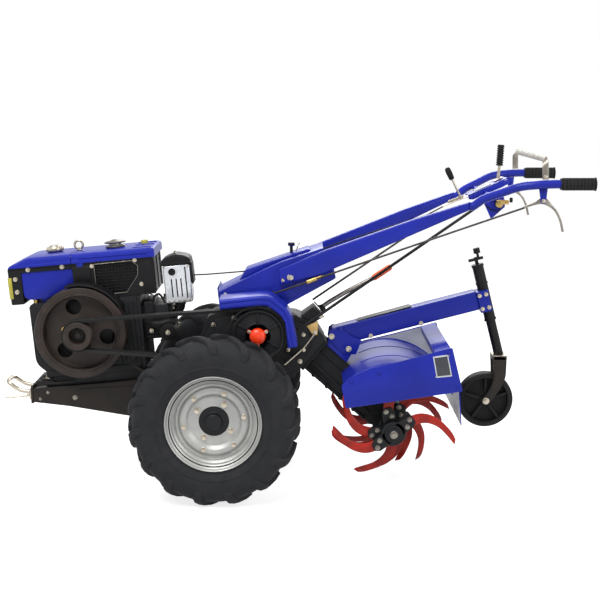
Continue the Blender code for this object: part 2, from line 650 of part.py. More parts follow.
def tiller_hood():
    half = TILLER_HALF - GAP
    low, high = HOOD_ARC
    skin = slab(arc(HOOD_R, low, high, 14) + arc(HOOD_R - SHEET, high, low, 14), -half, half)
    along, across = tiller_line()
    slot_line = [tuple(p) for p in link_outline(-0.05, 0.35, LINK_DEPTH + GAP)]
    slot = slab(slot_line, -LINK_HALF - GAP, LINK_HALF + GAP)
    keep("tiller_hood", cut(skin, slot), "blue_paint")
    strap = slab([(0.819, 0.550), (0.878, 0.5655), (0.878, 0.5695), (0.819, 0.554)], -half, half)
    keep("hood_strap", strap, "blue_paint")
    shield = [(0.471, 0.425, 0.02), (0.520, 0.466), (0.580, 0.492), (0.700, 0.520), (0.884, 0.570),
              (0.925, 0.404), (0.488, 0.339)]
    for side, word in ((-1, "left"), (1, "right")):
        near, far = side * TILLER_HALF, side * (TILLER_HALF + SHEET)
        keep("side_shield_" + word, slab(shield, near, far), "blue_paint")
    apron = slab([(0.9135, 0.4005), (0.9175, 0.4005), (0.9265, 0.270), (0.9225, 0.270)],
                 0.010 - TILLER_HALF, TILLER_HALF - 0.010)
    keep("rear_apron", apron, "blue_paint")


def tine(across, tip_angle, bend):
    # Sections run from the shaft to the tip: radius, angle ahead of the tip, step across, half width and
    # half thickness
    lean = math.radians(CONTACT_LEAN)
    tip = (ROTOR_Z - TIP_HALF * math.sin(lean)) / math.cos(lean)
    sections = (
        (0.020, 46, 0, 0.020, 0.004), (0.110, 38, 0, 0.019, 0.004), (0.165, 23, 0, 0.019, 0.004),
        (0.207, 9, 0.005, 0.016, 0.0045), (tip, 0, 0.024, TIP_HALF, 0.005),
    )
    rings = []
    for radius, ahead, step, wide, thick in sections:
        a = math.radians(tip_angle + ahead)
        out, turn = Vector((math.cos(a), 0, math.sin(a))), Vector((-math.sin(a), 0, math.cos(a)))
        centre = out * radius + Vector((0, across + bend * step, 0))
        broad, flat = turn * wide, Vector((0, thick, 0))
        rings.append([centre - broad - flat, centre + broad - flat, centre + broad + flat,
                      centre - broad + flat])
    return loft(rings)


def tine_rotor():
    centre = Vector((ROTOR_X, 0, ROTOR_Z))
    body = drum((0, 0, 0), SHAFT_R, ROTOR_HALF, sides=16)
    for share in sorted({share for share, _, _ in TINES}):
        body = joined(body, drum((0, share * ROTOR_HALF, 0), SEAT_R, SEAT_HALF, sides=12))
    for share, direction, bend in TINES:
        body = joined(body, tine(share * ROTOR_HALF, direction, bend))
    keep("tine_rotor", placed(body, Matrix.Translation(centre)), "tine_red", centre)


def handle_bracket():
    outline = [(-0.002, 0.772), (0.007, 0.6905), (0.255, 0.700), (0.394, 0.776), (0.455, 0.810, 0.01),
               (0.404, 0.926), (0.242, 0.871), (0.175, 0.841), (0.003, 0.756)]
    inside = [(-0.050, 0.750), (-0.050, 0.6965), (0.253, 0.706), (0.392, 0.782), (0.500, 0.842),
              (0.500, 0.953), (0.244, 0.866), (0.177, 0.836), (0.003, 0.750)]
    channel = slab(outline, -BRACKET_HALF, BRACKET_HALF)
    hollow = slab(inside, BRACKET_WALL - BRACKET_HALF, BRACKET_HALF - BRACKET_WALL)
    keep("handle_bracket", cut(channel, hollow), "blue_paint")
    over = 2 * GAP
    lid = slab([(0.082, 0.7952 + over), (0.107, 0.835, 0.01), (0.348, 0.917, 0.008), (0.358, 0.9104 + over),
                (0.242, 0.871 + over), (0.175, 0.841 + over)], -0.060, 0.060)
    knob = joined(drum((0.282, 0, 0.910), 0.006, 0.018, "Z", 10),
                  drum((0.282, 0, 0.928), 0.013, 0.006, "Z", 16))
    keep("handle_cover", joined(lid, knob), "blue_paint")


def handles():
    # Along, top, bottom, and how much further out the arm's inner side stands than the bracket
    stations = ((0.236, 0.846, 0.785, GAP), (0.404, 0.921, 0.836, 0.030), (0.737, 1.046, 0.989, 0.090),
                (0.936, 1.112, 1.082, ARM_SPREAD))
    tube_y = BRACKET_HALF + ARM_SPREAD + ARM_WIDTH / 2
    tube_line = (
        (0.9365, tube_y, 1.098), (0.955, tube_y, 1.098), (0.988, tube_y + 0.015, 1.124),
        (1.046, GRIP_Y - 0.060, 1.149), (1.105, GRIP_Y - 0.022, 1.173), (1.157, GRIP_Y - 0.005, 1.181),
        (1.220, GRIP_Y, GRIP_Z), (GRIP_X[0] - GAP, GRIP_Y, GRIP_Z),
    )
    grip_middle, grip_half = sum(GRIP_X) / 2, (GRIP_X[1] - GRIP_X[0]) / 2
    for side, word in ((-1, "left"), (1, "right")):
        rings = []
        for x, top, low, out in stations:
            near, far = side * (BRACKET_HALF + out), side * (BRACKET_HALF + out + ARM_WIDTH)
            rings.append([Vector((x, near, low)), Vector((x, far, low)), Vector((x, far, top)),
                          Vector((x, near, top))])
        keep("handle_arm_" + word, loft(rings), "blue_paint")
        keep("handle_tube_" + word, bar([(x, side * y, z) for x, y, z in tube_line], TUBE_R), "blue_paint")
        grip = drum((grip_middle, side * GRIP_Y, GRIP_Z), GRIP_R, grip_half, "X", 20)
        keep("grip_" + word, grip, "grip_rubber")
        lever_y, ear_y = side * LEVER_Y, side * (LEVER_Y + 0.006)
        ear = box((1.178, 1.202), (ear_y - EAR_HALF, ear_y + EAR_HALF), (1.114, 1.1665))
        spots = ((1.122, 1.100), (1.191, 1.125), (1.210, 1.107), (1.244, 1.074), (1.265, 1.011))
        lever = bar([(x, lever_y, z) for x, z in spots], LEVER_R)
        keep("steering_lever_" + word, joined(ear, lever), "zinc")
        foot = drum((0.209, side * (BRACKET_HALF + GAP + 0.007), 0.750), 0.012, 0.007, sides=12)
        rod_ends = [(1.125, side * (LEVER_Y - LEVER_R - ROD_R - 0.0005), 1.098),
                    (0.209, side * (BRACKET_HALF + 0.010), 0.750)]
        keep("steering_rod_" + word, joined(foot, bar(rod_ends, ROD_R)), "zinc")


def controls():
    plate = slab([(0.963, 1.1185), (1.110, 1.1845), (1.108, 1.1885), (0.961, 1.1225)], -0.050, 0.050)
    cross = bar([(CROSS_X, -CROSS_HALF, CROSS_Z), (CROSS_X, CROSS_HALF, CROSS_Z)], 0.010)
    post = box((CROSS_X - 0.015, CROSS_X + 0.015), (-0.040, 0.040), (CROSS_Z - 0.004, CROSS_Z + 0.022))
    switch = slab([(1.007, 1.099), (1.007, CROSS_Z), (1.080, CROSS_Z), (1.087, 1.107), (1.086, 1.086),
                   (1.035, 1.039)], -0.152, -0.146)
    can = drum((1.062, -0.160, 1.100), 0.015, 0.012, sides=14)
    keep("control_console", joined(plate, cross, post, switch, can), "black_paint")
    strip = slab([(0.861, 1.0785), (0.9605, 1.1175), (0.9588, 1.1215), (0.861, 1.083)], -0.070, -0.030)
    stick = bar([(0.935, -0.050, 1.110), (0.908, -0.050, 1.164), (0.884, -0.050, 1.212)], 0.004)
    knob = bar([(0.897, -0.050, 1.186), (0.881, -0.050, 1.220)], 0.011)
    keep("throttle_lever", joined(strip, stick, knob), "black_paint")
    pad = slab([(1.065, 1.1704), (1.099, 1.1857), (1.097, 1.1907), (1.063, 1.1754)], -0.018, 0.018)
    lever = bar([(1.082, 0, 1.180), (1.084, 0, 1.205), (1.086, 0, 1.240)], 0.006)
    grip = bar([(1.086, 0, 1.233), (1.090, 0, 1.313)], 0.014)
    keep("clutch_lever", joined(pad, lever, grip), "grip_rubber")
    bail = bar([(1.192, -0.350, 1.2010), (1.192, -0.340, 1.262), (1.194, -0.322, 1.277),
                (1.205, 0.322, 1.281), (1.208, 0.340, 1.266), (1.212, 0.350, 1.2032)], 0.006)
    keep("handle_bail", bail, "zinc")
    lever = bar([(0.3935, 0, 0.6740), (0.428, 0, 0.699), (0.500, 0, 0.742), (0.602, 0, 0.794)], 0.009)
    knob = bar([(0.602, 0, 0.794), (0.673, 0, 0.841)], 0.012)
    keep("gear_lever", joined(lever, knob), "zinc")
    pin = drum((0.299, -(CASE_HALF + BOSS_OUT + GAP + 0.018), 0.604), 0.009, 0.018, sides=12)
    rod = bar([(1.004, -0.120, 1.096), (0.299, -0.120, 0.604)], 0.006)
    keep("shift_rod", joined(pin, rod), "black_paint")


def column_point(z):
    # X of the tail column's middle line at a height.
    return COLUMN_FOOT[0] - (z - COLUMN_FOOT[1]) * math.tan(math.radians(COLUMN_TILT))


def tail_column():
    tilt = Matrix.Rotation(math.radians(-COLUMN_TILT), 4, "Y")
    seat = Matrix.Translation((COLUMN_FOOT[0], 0, COLUMN_FOOT[1])) @ tilt
    length = (COLUMN_TOP_Z - COLUMN_FOOT[1]) / math.cos(math.radians(COLUMN_TILT))
    tube = drum((0, 0, length / 2), COLUMN_R, length / 2, "Z", 24)
    face = -(seat.inverted() @ Vector((BEAM_END.x, 0, BEAM_END.y))).x - GAP
    clamp = box((-face, 0.012), (-0.045, 0.045), (0.045, 0.128))
    bore = drum((0, 0, length / 2 - 0.010), POST_R + PIN_GAP, length / 2, "Z", 24)
    keep("column_tube", placed(cut(joined(tube, clamp), bore), seat), "black_paint")
    stem = drum((0, 0, length + GAP + 0.014), 0.007, 0.014, "Z", 12)
    arm = bar([(-0.030, 0, length + 0.020), (0.028, 0, length + 0.020)], 0.006)
    knob = joined(drum((0.010, 0, length + 0.034), 0.005, 0.016, "Z", 12),
                  drum((0.010, 0, length + 0.052), 0.013, 0.010, "Z", 16))
    keep("crank_handle", placed(joined(stem, arm, knob), seat), "black_paint")

    along = math.hypot(COLUMN_FOOT[1] - CROWN_Z, column_point(CROWN_Z) - COLUMN_FOOT[0])
    post = placed(drum((0, 0, (POST_INSIDE - along) / 2), POST_R, (POST_INSIDE + along) / 2, "Z", 24), seat)
    crown_x = column_point(CROWN_Z)
    near = TAIL_WIDTH / 2 + LEG_GAP
    far = near + LEG_THICK
    crown = box((crown_x - 0.030, crown_x + 0.024), (-far, far), (CROWN_Z - 0.006, CROWN_Z + 0.012))
    leg = [(crown_x - 0.028, CROWN_Z), (TAIL_X - 0.016, TAIL_Z), (TAIL_X - 0.008, TAIL_Z - 0.016),
           (TAIL_X + 0.010, TAIL_Z - 0.014), (TAIL_X + 0.016, TAIL_Z), (crown_x + 0.014, CROWN_Z)]
    legs = [slab(leg, -far, -near), slab(leg, near, far)]
    pieces = [post, crown, *legs, drum((TAIL_X, 0, TAIL_Z), TAIL_PIN_R, far + 0.010, sides=16)]
    keep("tail_post", joined(*pieces), "black_paint", (TAIL_X, 0, TAIL_Z))
    tread = TAIL_WIDTH / 2
    line = [(TAIL_R, tread - 0.016), (TAIL_R, 0.016 - tread), (TAIL_R - 0.014, -tread), (0.062, -tread),
            (0.056, -0.008), (0.024, -0.008), (0.020, -tread), (TAIL_PIN_R + PIN_GAP, -tread),
            (TAIL_PIN_R + PIN_GAP, tread), (0.020, tread),
            (0.024, 0.008), (0.056, 0.008), (0.062, tread), (TAIL_R - 0.014, tread)]
    centre = Vector((TAIL_X, 0, TAIL_Z))
    roller = placed(turned(line, (0, 0, 0), steps=24), Matrix.Translation(centre))
    keep("tail_wheel", roller, "rubber", centre)


def centre_on_bounds():
    # The origin goes to the middle of the bounding box's underside.
    bpy.context.view_layer.update()
    corners = [solid.matrix_world @ Vector(corner) for solid in parts.objects if solid.type == "MESH"
               for corner in solid.bound_box]
    middle = [(min(c[i] for c in corners) + max(c[i] for c in corners)) / 2 for i in (0, 1)]
    root.location = (-middle[0], -middle[1], -min(c.z for c in corners))
    bpy.context.view_layer.update()


wheels()
frame()
engine_unit()
flywheel()
belts()
clutch_pulley()
belt_guard()
gearbox()
tiller_frame()
tiller_hood()
tine_rotor()
handle_bracket()
handles()
controls()
tail_column()
centre_on_bounds()
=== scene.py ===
import json
import math

import bmesh
import bpy
from mathutils import Matrix, Vector


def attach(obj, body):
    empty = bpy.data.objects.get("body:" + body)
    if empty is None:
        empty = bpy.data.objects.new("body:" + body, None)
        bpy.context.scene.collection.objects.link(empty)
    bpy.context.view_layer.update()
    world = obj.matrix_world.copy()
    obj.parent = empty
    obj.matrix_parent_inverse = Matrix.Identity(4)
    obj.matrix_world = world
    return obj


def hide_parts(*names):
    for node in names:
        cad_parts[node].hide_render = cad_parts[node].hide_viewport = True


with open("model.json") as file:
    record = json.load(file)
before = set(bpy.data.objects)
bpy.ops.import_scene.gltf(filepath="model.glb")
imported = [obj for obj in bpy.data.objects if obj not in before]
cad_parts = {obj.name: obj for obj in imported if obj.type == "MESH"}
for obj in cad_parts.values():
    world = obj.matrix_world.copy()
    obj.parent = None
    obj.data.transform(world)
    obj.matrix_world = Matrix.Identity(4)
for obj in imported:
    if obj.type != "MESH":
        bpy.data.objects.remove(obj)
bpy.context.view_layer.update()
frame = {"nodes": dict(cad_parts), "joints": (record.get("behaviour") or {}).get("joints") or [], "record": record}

cadNodes = frame["nodes"]
bodyOfNode = {node: body for body, nodes in frame["record"]["behaviour"]["bodies"].items() for node in nodes}
jointAt = {joint["name"]: Vector(joint["pos_m"]) for joint in frame["joints"] if "pos_m" in joint}
axle = jointAt["wheel_left_spin"].copy()
axle.y = 0
crank = jointAt["flywheel_spin"]
clutch = jointAt["clutch_pulley_spin"]
rotorAxis = jointAt["tine_rotor_spin"]
enginePitch = math.radians(-5)  # the engine sits tail up by five degrees
engineFrame = Matrix.Translation((crank.x, 0, crank.z)) @ Matrix.Rotation(enginePitch, 4, "Y")


# Materials

def toLinear(code):
    channels = [int(code[i:i + 2], 16) / 255 for i in (1, 3, 5)]
    return [c / 12.92 if c <= 0.04045 else ((c + 0.055) / 1.055) ** 2.4 for c in channels] + [1.0]


def addNode(tree, kind, inputs=None, **settings):
    node = tree.nodes.new(kind)
    for key, value in settings.items():
        setattr(node, key, value)
    for key, value in (inputs or {}).items():
        if isinstance(value, bpy.types.NodeSocket):
            tree.links.new(value, node.inputs[key])
        else:
            node.inputs[key].default_value = value
    return node


def makeFinish(name, look):
    # colour: a base and a second tone mixed in broad patches; grain: size in millimetres of the fine relief
    made = bpy.data.materials.new(name)
    made.use_nodes = True
    tree = made.node_tree
    tree.nodes.clear()
    spots = addNode(tree, "ShaderNodeTexCoord").outputs["Object"]
    patches = addNode(tree, "ShaderNodeTexNoise", {"Vector": spots, "Scale": 1000 / look["patch"], "Detail": 4.0,
                                                   "Roughness": 0.6})
    spread = addNode(tree, "ShaderNodeMapRange", {"Value": patches.outputs["Fac"], "From Min": 0.35, "From Max": 0.65})
    colour = addNode(tree, "ShaderNodeMix", {0: spread.outputs["Result"], 6: toLinear(look["base"]),
                                             7: toLinear(look["tone"])}, data_type="RGBA")
    rough = addNode(tree, "ShaderNodeMapRange", {"Value": patches.outputs["Fac"], "From Min": 0.3, "From Max": 0.7,
                                                 "To Min": look["rough"] - look["roughSpread"],
                                                 "To Max": look["rough"] + look["roughSpread"]})
    grain = addNode(tree, "ShaderNodeTexNoise", {"Vector": spots, "Scale": 1000 / look["grain"], "Detail": 3.0})
    relief = addNode(tree, "ShaderNodeBump", {"Height": grain.outputs["Fac"], "Strength": look["relief"],
                                              "Distance": look["grain"] / 3000})
    shader = addNode(tree, "ShaderNodeBsdfPrincipled", {
        "Base Color": colour.outputs[2], "Roughness": rough.outputs["Result"], "Normal": relief.outputs["Normal"],
        "Metallic": look.get("metallic", 0.0), "Coat Weight": look.get("coat", 0.0),
        "Coat Roughness": look.get("coatRough", 0.1)})
    if "ior" in look:
        shader.inputs["IOR"].default_value = look["ior"]
        shader.inputs["Specular IOR Level"].default_value = look.get("shine", 0.25)
    addNode(tree, "ShaderNodeOutputMaterial", {"Surface": shader.outputs[0]})
    return made


finishes = {
    # Baked enamel on pressed sheet: deep colour under a clear skin, with a faint orange peel
    "bakedBlueEnamel": dict(base="#1c2898", tone="#182388", patch=260, rough=0.34, roughSpread=0.03, grain=5,
                            relief=0.05, coat=0.08, coatRough=0.10, ior=1.5, shine=0.16),
    "bakedRedEnamel": dict(base="#b3271a", tone="#861e17", patch=60, rough=0.34, roughSpread=0.05, grain=4,
                           relief=0.10, coat=0.1, coatRough=0.15, ior=1.5, shine=0.2),
    "bakedOrangeEnamel": dict(base="#f5401c", tone="#e8380f", patch=40, rough=0.32, roughSpread=0.03, grain=4,
                              relief=0.05, coat=0.4, coatRough=0.12, ior=1.5),
    # Satin black paint on rolled steel: smooth, with soft wide highlights
    "satinBlackPaint": dict(base="#0e0e10", tone="#141416", patch=90, rough=0.42, roughSpread=0.06, grain=3,
                            relief=0.06, ior=1.5, shine=0.18),
    # Sand-cast iron under black paint: the mould's sand leaves a pebbled skin
    "sandCastBlack": dict(base="#0d0e10", tone="#161719", patch=45, rough=0.50, roughSpread=0.09, grain=2.4,
                          relief=0.45, ior=1.5, shine=0.22),
    # Brown-black primer on folded plate, drier and more uneven than the finish coat
    "primedPlate": dict(base="#1e1a18", tone="#2a2420", patch=70, rough=0.48, roughSpread=0.08, grain=2.6,
                        relief=0.2, ior=1.5, shine=0.2),
    # Cast iron flywheel, painted and turned on its rim
    "flywheelIron": dict(base="#2a2421", tone="#382f2b", patch=55, rough=0.40, roughSpread=0.08, grain=2.2,
                         relief=0.25, ior=1.5, shine=0.2),
    # Vulcanised natural rubber: near black with a grey bloom
    "vulcanisedRubber": dict(base="#202123", tone="#2b2b2d", patch=50, rough=0.72, roughSpread=0.10, grain=1.8,
                             relief=0.35, ior=1.52, shine=0.15),
    "mouldedGripRubber": dict(base="#141414", tone="#1b1b1b", patch=30, rough=0.62, roughSpread=0.06, grain=1.6,
                              relief=0.2, ior=1.52, shine=0.2),
    # Aluminium paint on pressed wheel steel: flakes give a soft grey sheen
    "aluminiumPaint": dict(base="#a9a9a5", tone="#9b9b98", patch=70, rough=0.38, roughSpread=0.05, grain=1.2,
                           relief=0.10, metallic=0.35),
    # Aluminised sheet steel of the silencer: brighter, slightly rippled
    "aluminisedSteel": dict(base="#d2d4d8", tone="#bfc2c7", patch=40, rough=0.30, roughSpread=0.08, grain=6,
                            relief=0.12, metallic=0.75),
    # Bright zinc plate on screws and rods
    "brightZinc": dict(base="#bdb5a6", tone="#a69d8e", patch=18, rough=0.30, roughSpread=0.07, grain=1.2,
                       relief=0.08, metallic=1.0),
    # Yellow chromate over zinc: straw to pink tints
    "yellowZinc": dict(base="#b49a5e", tone="#9c8350", patch=12, rough=0.32, roughSpread=0.06, grain=1.2,
                       relief=0.08, metallic=1.0),
    "brushedSteelBar": dict(base="#8a857d", tone="#6f6a63", patch=30, rough=0.36, roughSpread=0.06, grain=1.4,
                            relief=0.12, metallic=1.0),
    # Cold-drawn rod with a film of dark oil
    "oiledSteelRod": dict(base="#3b3733", tone="#2c2926", patch=25, rough=0.42, roughSpread=0.06, grain=1.4,
                          relief=0.1, metallic=0.6),
    # Injection-moulded polyamide: fine spark-eroded texture
    "mouldedPolyamide": dict(base="#121212", tone="#191817", patch=40, rough=0.55, roughSpread=0.05, grain=1.5,
                             relief=0.18, ior=1.53, shine=0.15),
    "orangeVinylSleeve": dict(base="#ee6630", tone="#e15a26", patch=30, rough=0.45, roughSpread=0.04, grain=2,
                              relief=0.08, ior=1.53),
    "amberAcrylic": dict(base="#b0a83c", tone="#9f9730", patch=20, rough=0.18, roughSpread=0.03, grain=3,
                         relief=0.05, coat=0.5, ior=1.49),
    "clearLampGlass": dict(base="#c9ced2", tone="#b9bfc4", patch=20, rough=0.08, roughSpread=0.02, grain=6,
                           relief=0.05, coat=0.8, ior=1.52),
    "tanPlatedSteel": dict(base="#cfae70", tone="#bd9a5c", patch=20, rough=0.40, roughSpread=0.05, grain=1.5,
                           relief=0.1, metallic=0.4),
    # Pale grey: the label rim's own paint; on the inner faces of the shields and the apron it is a painted reflection,
    # light drawn onto blue sheet
    "paleGreyRimAndPaintedReflection": dict(base="#c8cacc", tone="#bcbec1", patch=60, rough=0.45, roughSpread=0.05, grain=3,
                          relief=0.06, ior=1.5),
    "blankAluminiumPlate": dict(base="#3a3c42", tone="#33353b", patch=50, rough=0.35, roughSpread=0.04, grain=2,
                                relief=0.05, metallic=0.3),
}
finishes = {name: makeFinish(name, look) for name, look in finishes.items()}
print("materials made:", len(finishes))


# Shared making of meshes

def facesOut(mesh):
    work = bmesh.new()
    work.from_mesh(mesh)
    bmesh.ops.remove_doubles(work, verts=work.verts, dist=0.00002)
    bmesh.ops.recalc_face_normals(work, faces=work.faces)
    work.to_mesh(mesh)
    work.free()


def newPiece(name, mesh, finish, body="machine", replaced=(), smooth=38):
    piece = bpy.data.objects.new(name, mesh)
    bpy.context.scene.collection.objects.link(piece)
    if not mesh.materials:
        mesh.materials.append(finishes[finish])
    if smooth:
        mesh.shade_smooth()
        mesh.set_sharp_from_angle(angle=math.radians(smooth))
    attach(piece, body)
    if replaced:
        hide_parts(*replaced)
    return piece


def settled(piece):
    # The evaluated object as a plain mesh, with the object and its modifiers gone
    bpy.context.view_layer.update()
    mesh = bpy.data.meshes.new_from_object(piece.evaluated_get(bpy.context.evaluated_depsgraph_get()))
    mesh.transform(piece.matrix_world)
    bpy.data.objects.remove(piece)
    return mesh


def loose(mesh):
    piece = bpy.data.objects.new("work", mesh)
    bpy.context.scene.collection.objects.link(piece)
    return piece


def bevelled(mesh, width, segments=2, angle=30):
    piece = loose(mesh)
    step = piece.modifiers.new("edge", "BEVEL")
    step.width = width
    step.segments = segments
    step.limit_method = "ANGLE"
    step.angle_limit = math.radians(angle)
    step.use_clamp_overlap = True
    return settled(piece)


def cadCopy(node):
    # The CAD solid with its corners merged and its flat faces whole again
    mesh = cadNodes[node].data.copy()
    mesh.materials.clear()
    work = bmesh.new()
    work.from_mesh(mesh)
    bmesh.ops.remove_doubles(work, verts=work.verts, dist=0.00002)
    bmesh.ops.dissolve_limit(work, angle_limit=math.radians(1.0), verts=work.verts, edges=work.edges)
    work.to_mesh(mesh)
    work.free()
    return mesh


def boxMesh(low, high):
    mesh = bpy.data.meshes.new("box")
    work = bmesh.new()
    bmesh.ops.create_cube(work, size=1)
    for corner in work.verts:
        corner.co = Vector(a + (b - a) * (c + 0.5) for a, b, c in zip(low, high, corner.co))
    work.to_mesh(mesh)
    work.free()
    return mesh


axisTurn = {"X": Matrix.Rotation(math.pi / 2, 4, "Y"), "Y": Matrix.Rotation(-math.pi / 2, 4, "X"),
            "Z": Matrix.Identity(4)}


def drumMesh(centre, radius, half, axis="Y", sides=32, top=None):
    mesh = bpy.data.meshes.new("drum")
    work = bmesh.new()
    bmesh.ops.create_cone(work, cap_ends=True, segments=sides, depth=2 * half, radius1=radius,
                          radius2=radius if top is None else top)
    bmesh.ops.transform(work, matrix=Matrix.Translation(centre) @ axisTurn[axis], verts=work.verts)
    work.to_mesh(mesh)
    work.free()
    return mesh


def latheMesh(profile, steps=64, closed=True):
    # (radius, along) pairs turned round the Y axis
    mesh = bpy.data.meshes.new("turned")
    work = bmesh.new()
    spots = [work.verts.new((radius, along, 0)) for radius, along in profile]
    edges = [work.edges.new(pair) for pair in zip(spots, spots[1:])]
    if closed:
        edges.append(work.edges.new((spots[-1], spots[0])))
    bmesh.ops.spin(work, geom=spots + edges, cent=(0, 0, 0), axis=(0, 1, 0), angle=2 * math.pi, steps=steps,
                   use_merge=True, use_duplicate=False)
    bmesh.ops.remove_doubles(work, verts=work.verts, dist=0.00002)
    bmesh.ops.recalc_face_normals(work, faces=work.faces)
    work.to_mesh(mesh)
    work.free()
    return mesh


def outlineMesh(points, low, high, plane="XZ"):
    # A flat outline given thickness across its plane
    mesh = bpy.data.meshes.new("plate")
    work = bmesh.new()
    lift = {"XZ": lambda a, b, c: (a, c, b), "XY": lambda a, b, c: (a, b, c), "YZ": lambda a, b, c: (c, a, b)}[plane]
    rings = [[work.verts.new(lift(a, b, level)) for a, b in points] for level in (low, high)]
    work.faces.new(rings[0])
    work.faces.new(rings[1][::-1])
    for i in range(len(points)):
        j = (i + 1) % len(points)
        work.faces.new((rings[0][i], rings[0][j], rings[1][j], rings[1][i]))
    bmesh.ops.recalc_face_normals(work, faces=work.faces)
    work.to_mesh(mesh)
    work.free()
    return mesh


def wireMesh(points, radius, sides=3, smoothed=True):
    # A round bar, tube or cable through points, rounded between them
    curve = bpy.data.curves.new("wire", "CURVE")
    curve.dimensions = "3D"
    curve.bevel_depth = radius
    curve.bevel_resolution = sides
    curve.use_fill_caps = True
    line = curve.splines.new("POLY")
    spots = rounded(points, radius * 3) if smoothed else [Vector(p) for p in points]
    line.points.add(len(spots) - 1)
    for spot, target in zip(spots, line.points):
        target.co = (*spot, 1)
    mesh = settled(loose(curve))
    facesOut(mesh)
    return mesh


def rounded(points, reach, steps=5):
    spots = [Vector(p) for p in points]
    result = [spots[0]]
    for before, here, after in zip(spots, spots[1:], spots[2:]):
        back, ahead = before - here, after - here
        cut = min(reach, 0.45 * back.length, 0.45 * ahead.length)
        start, end = here + back.normalized() * cut, here + ahead.normalized() * cut
        for step in range(steps + 1):
            t = step / steps
            result.append(start * (1 - t) ** 2 + here * 2 * t * (1 - t) + end * t * t)
    return result + [spots[-1]]


def together(meshes):
    joined = bmesh.new()
    for mesh in meshes:
        joined.from_mesh(mesh)
    result = bpy.data.meshes.new("joined")
    joined.to_mesh(result)
    joined.free()
    return result


def carved(mesh, cutters, operation="DIFFERENCE"):
    for cutter in cutters:
        base, tool = loose(mesh), loose(cutter)
        step = base.modifiers.new("cut", "BOOLEAN")
        step.operation = operation
        step.solver = "EXACT"
        step.object = tool
        mesh = settled(base)
        bpy.data.objects.remove(tool)
    return mesh


def moved(mesh, matrix):
    mesh.transform(matrix)
    return mesh


# Wheels

tyre = dict(lugTipR=0.3195, carcassR=0.302, shoulder=0.0805, beadR=0.1575, beadHalf=0.058, lugs=15, lugWidth=0.026,
            lugDepth=0.0185, lugLean=47)


def lugMesh():
    # One tread bar, from just past the middle line out over the shoulder, with its foot sunk in the carcass.
    # It stands at the top of a wheel whose axle lies along Y.
    stations = (  # along the bar: across the tyre, step round the wheel, top radius, foot radius, half width
        (-0.006, 0.000, 0.3195, 0.296, 0.011), (0.022, 0.020, 0.3190, 0.294, 0.012),
        (0.050, 0.044, 0.3140, 0.288, 0.0135), (0.068, 0.058, 0.3040, 0.270, 0.015),
        (0.0795, 0.066, 0.2880, 0.258, 0.0155), (0.0815, 0.069, 0.2640, 0.246, 0.014),
    )
    work = bmesh.new()
    rings = []
    for across, step, top, foot, half in stations:
        ring = []
        for radius, side, out in ((foot, -1.35, -0.010), (top - 0.003, -1.0, 0), (top, -0.78, 0), (top, 0.78, 0),
                                  (top - 0.003, 1.0, 0), (foot, 1.35, -0.010)):
            turn = (step + side * half) / 0.30
            ring.append(work.verts.new((radius * math.sin(turn), across + out * (across > 0.06),
                                        radius * math.cos(turn))))
        rings.append(ring)
    for first, second in zip(rings, rings[1:]):
        for i in range(6):
            j = (i + 1) % 6
            work.faces.new((first[i], first[j], second[j], second[i]))
    work.faces.new(rings[0][::-1])
    work.faces.new(rings[-1])
    bmesh.ops.recalc_face_normals(work, faces=work.faces)
    mesh = bpy.data.meshes.new("lug")
    work.to_mesh(mesh)
    work.free()
    return mesh


def ringOfCopies(name):
    # A node tree that sets copies of one object in a ring round the Y axis
    tree = bpy.data.node_groups.new(name, "GeometryNodeTree")
    tree.interface.new_socket("Geometry", in_out="OUTPUT", socket_type="NodeSocketGeometry")
    for label, kind in (("Copy", "NodeSocketObject"), ("Count", "NodeSocketInt"), ("Radius", "NodeSocketFloat"),
                        ("Along", "NodeSocketFloat"), ("Start", "NodeSocketFloat"), ("Finish", "NodeSocketMaterial")):
        tree.interface.new_socket(label, in_out="INPUT", socket_type=kind)
    given = addNode(tree, "NodeGroupInput").outputs
    copy = addNode(tree, "GeometryNodeObjectInfo", {"Object": given["Copy"]})
    points = addNode(tree, "GeometryNodePoints", {"Count": given["Count"]})
    index = addNode(tree, "GeometryNodeInputIndex").outputs[0]
    share = addNode(tree, "ShaderNodeMath", {0: index, 1: given["Count"]}, operation="DIVIDE")
    turn = addNode(tree, "ShaderNodeMath", {0: share.outputs[0], 1: 2 * math.pi, 2: given["Start"]},
                   operation="MULTIPLY_ADD")
    side = addNode(tree, "ShaderNodeMath", {0: turn.outputs[0]}, operation="SINE")
    up = addNode(tree, "ShaderNodeMath", {0: turn.outputs[0]}, operation="COSINE")
    across = addNode(tree, "ShaderNodeMath", {0: side.outputs[0], 1: given["Radius"]}, operation="MULTIPLY")
    lift = addNode(tree, "ShaderNodeMath", {0: up.outputs[0], 1: given["Radius"]}, operation="MULTIPLY")
    place = addNode(tree, "ShaderNodeCombineXYZ", {0: across.outputs[0], 1: given["Along"], 2: lift.outputs[0]})
    spin = addNode(tree, "ShaderNodeCombineXYZ", {1: turn.outputs[0]})
    set_ = addNode(tree, "GeometryNodeSetPosition", {"Geometry": points.outputs[0], "Position": place.outputs[0]})
    copies = addNode(tree, "GeometryNodeInstanceOnPoints", {"Points": set_.outputs[0],
                                                            "Instance": copy.outputs["Geometry"],
                                                            "Rotation": spin.outputs[0]})
    real = addNode(tree, "GeometryNodeRealizeInstances", {"Geometry": copies.outputs[0]})
    painted = addNode(tree, "GeometryNodeSetMaterial", {"Geometry": real.outputs[0], "Material": given["Finish"]})
    addNode(tree, "NodeGroupOutput", {"Geometry": painted.outputs[0]})
    return tree


ringTree = ringOfCopies("ringOfCopies")


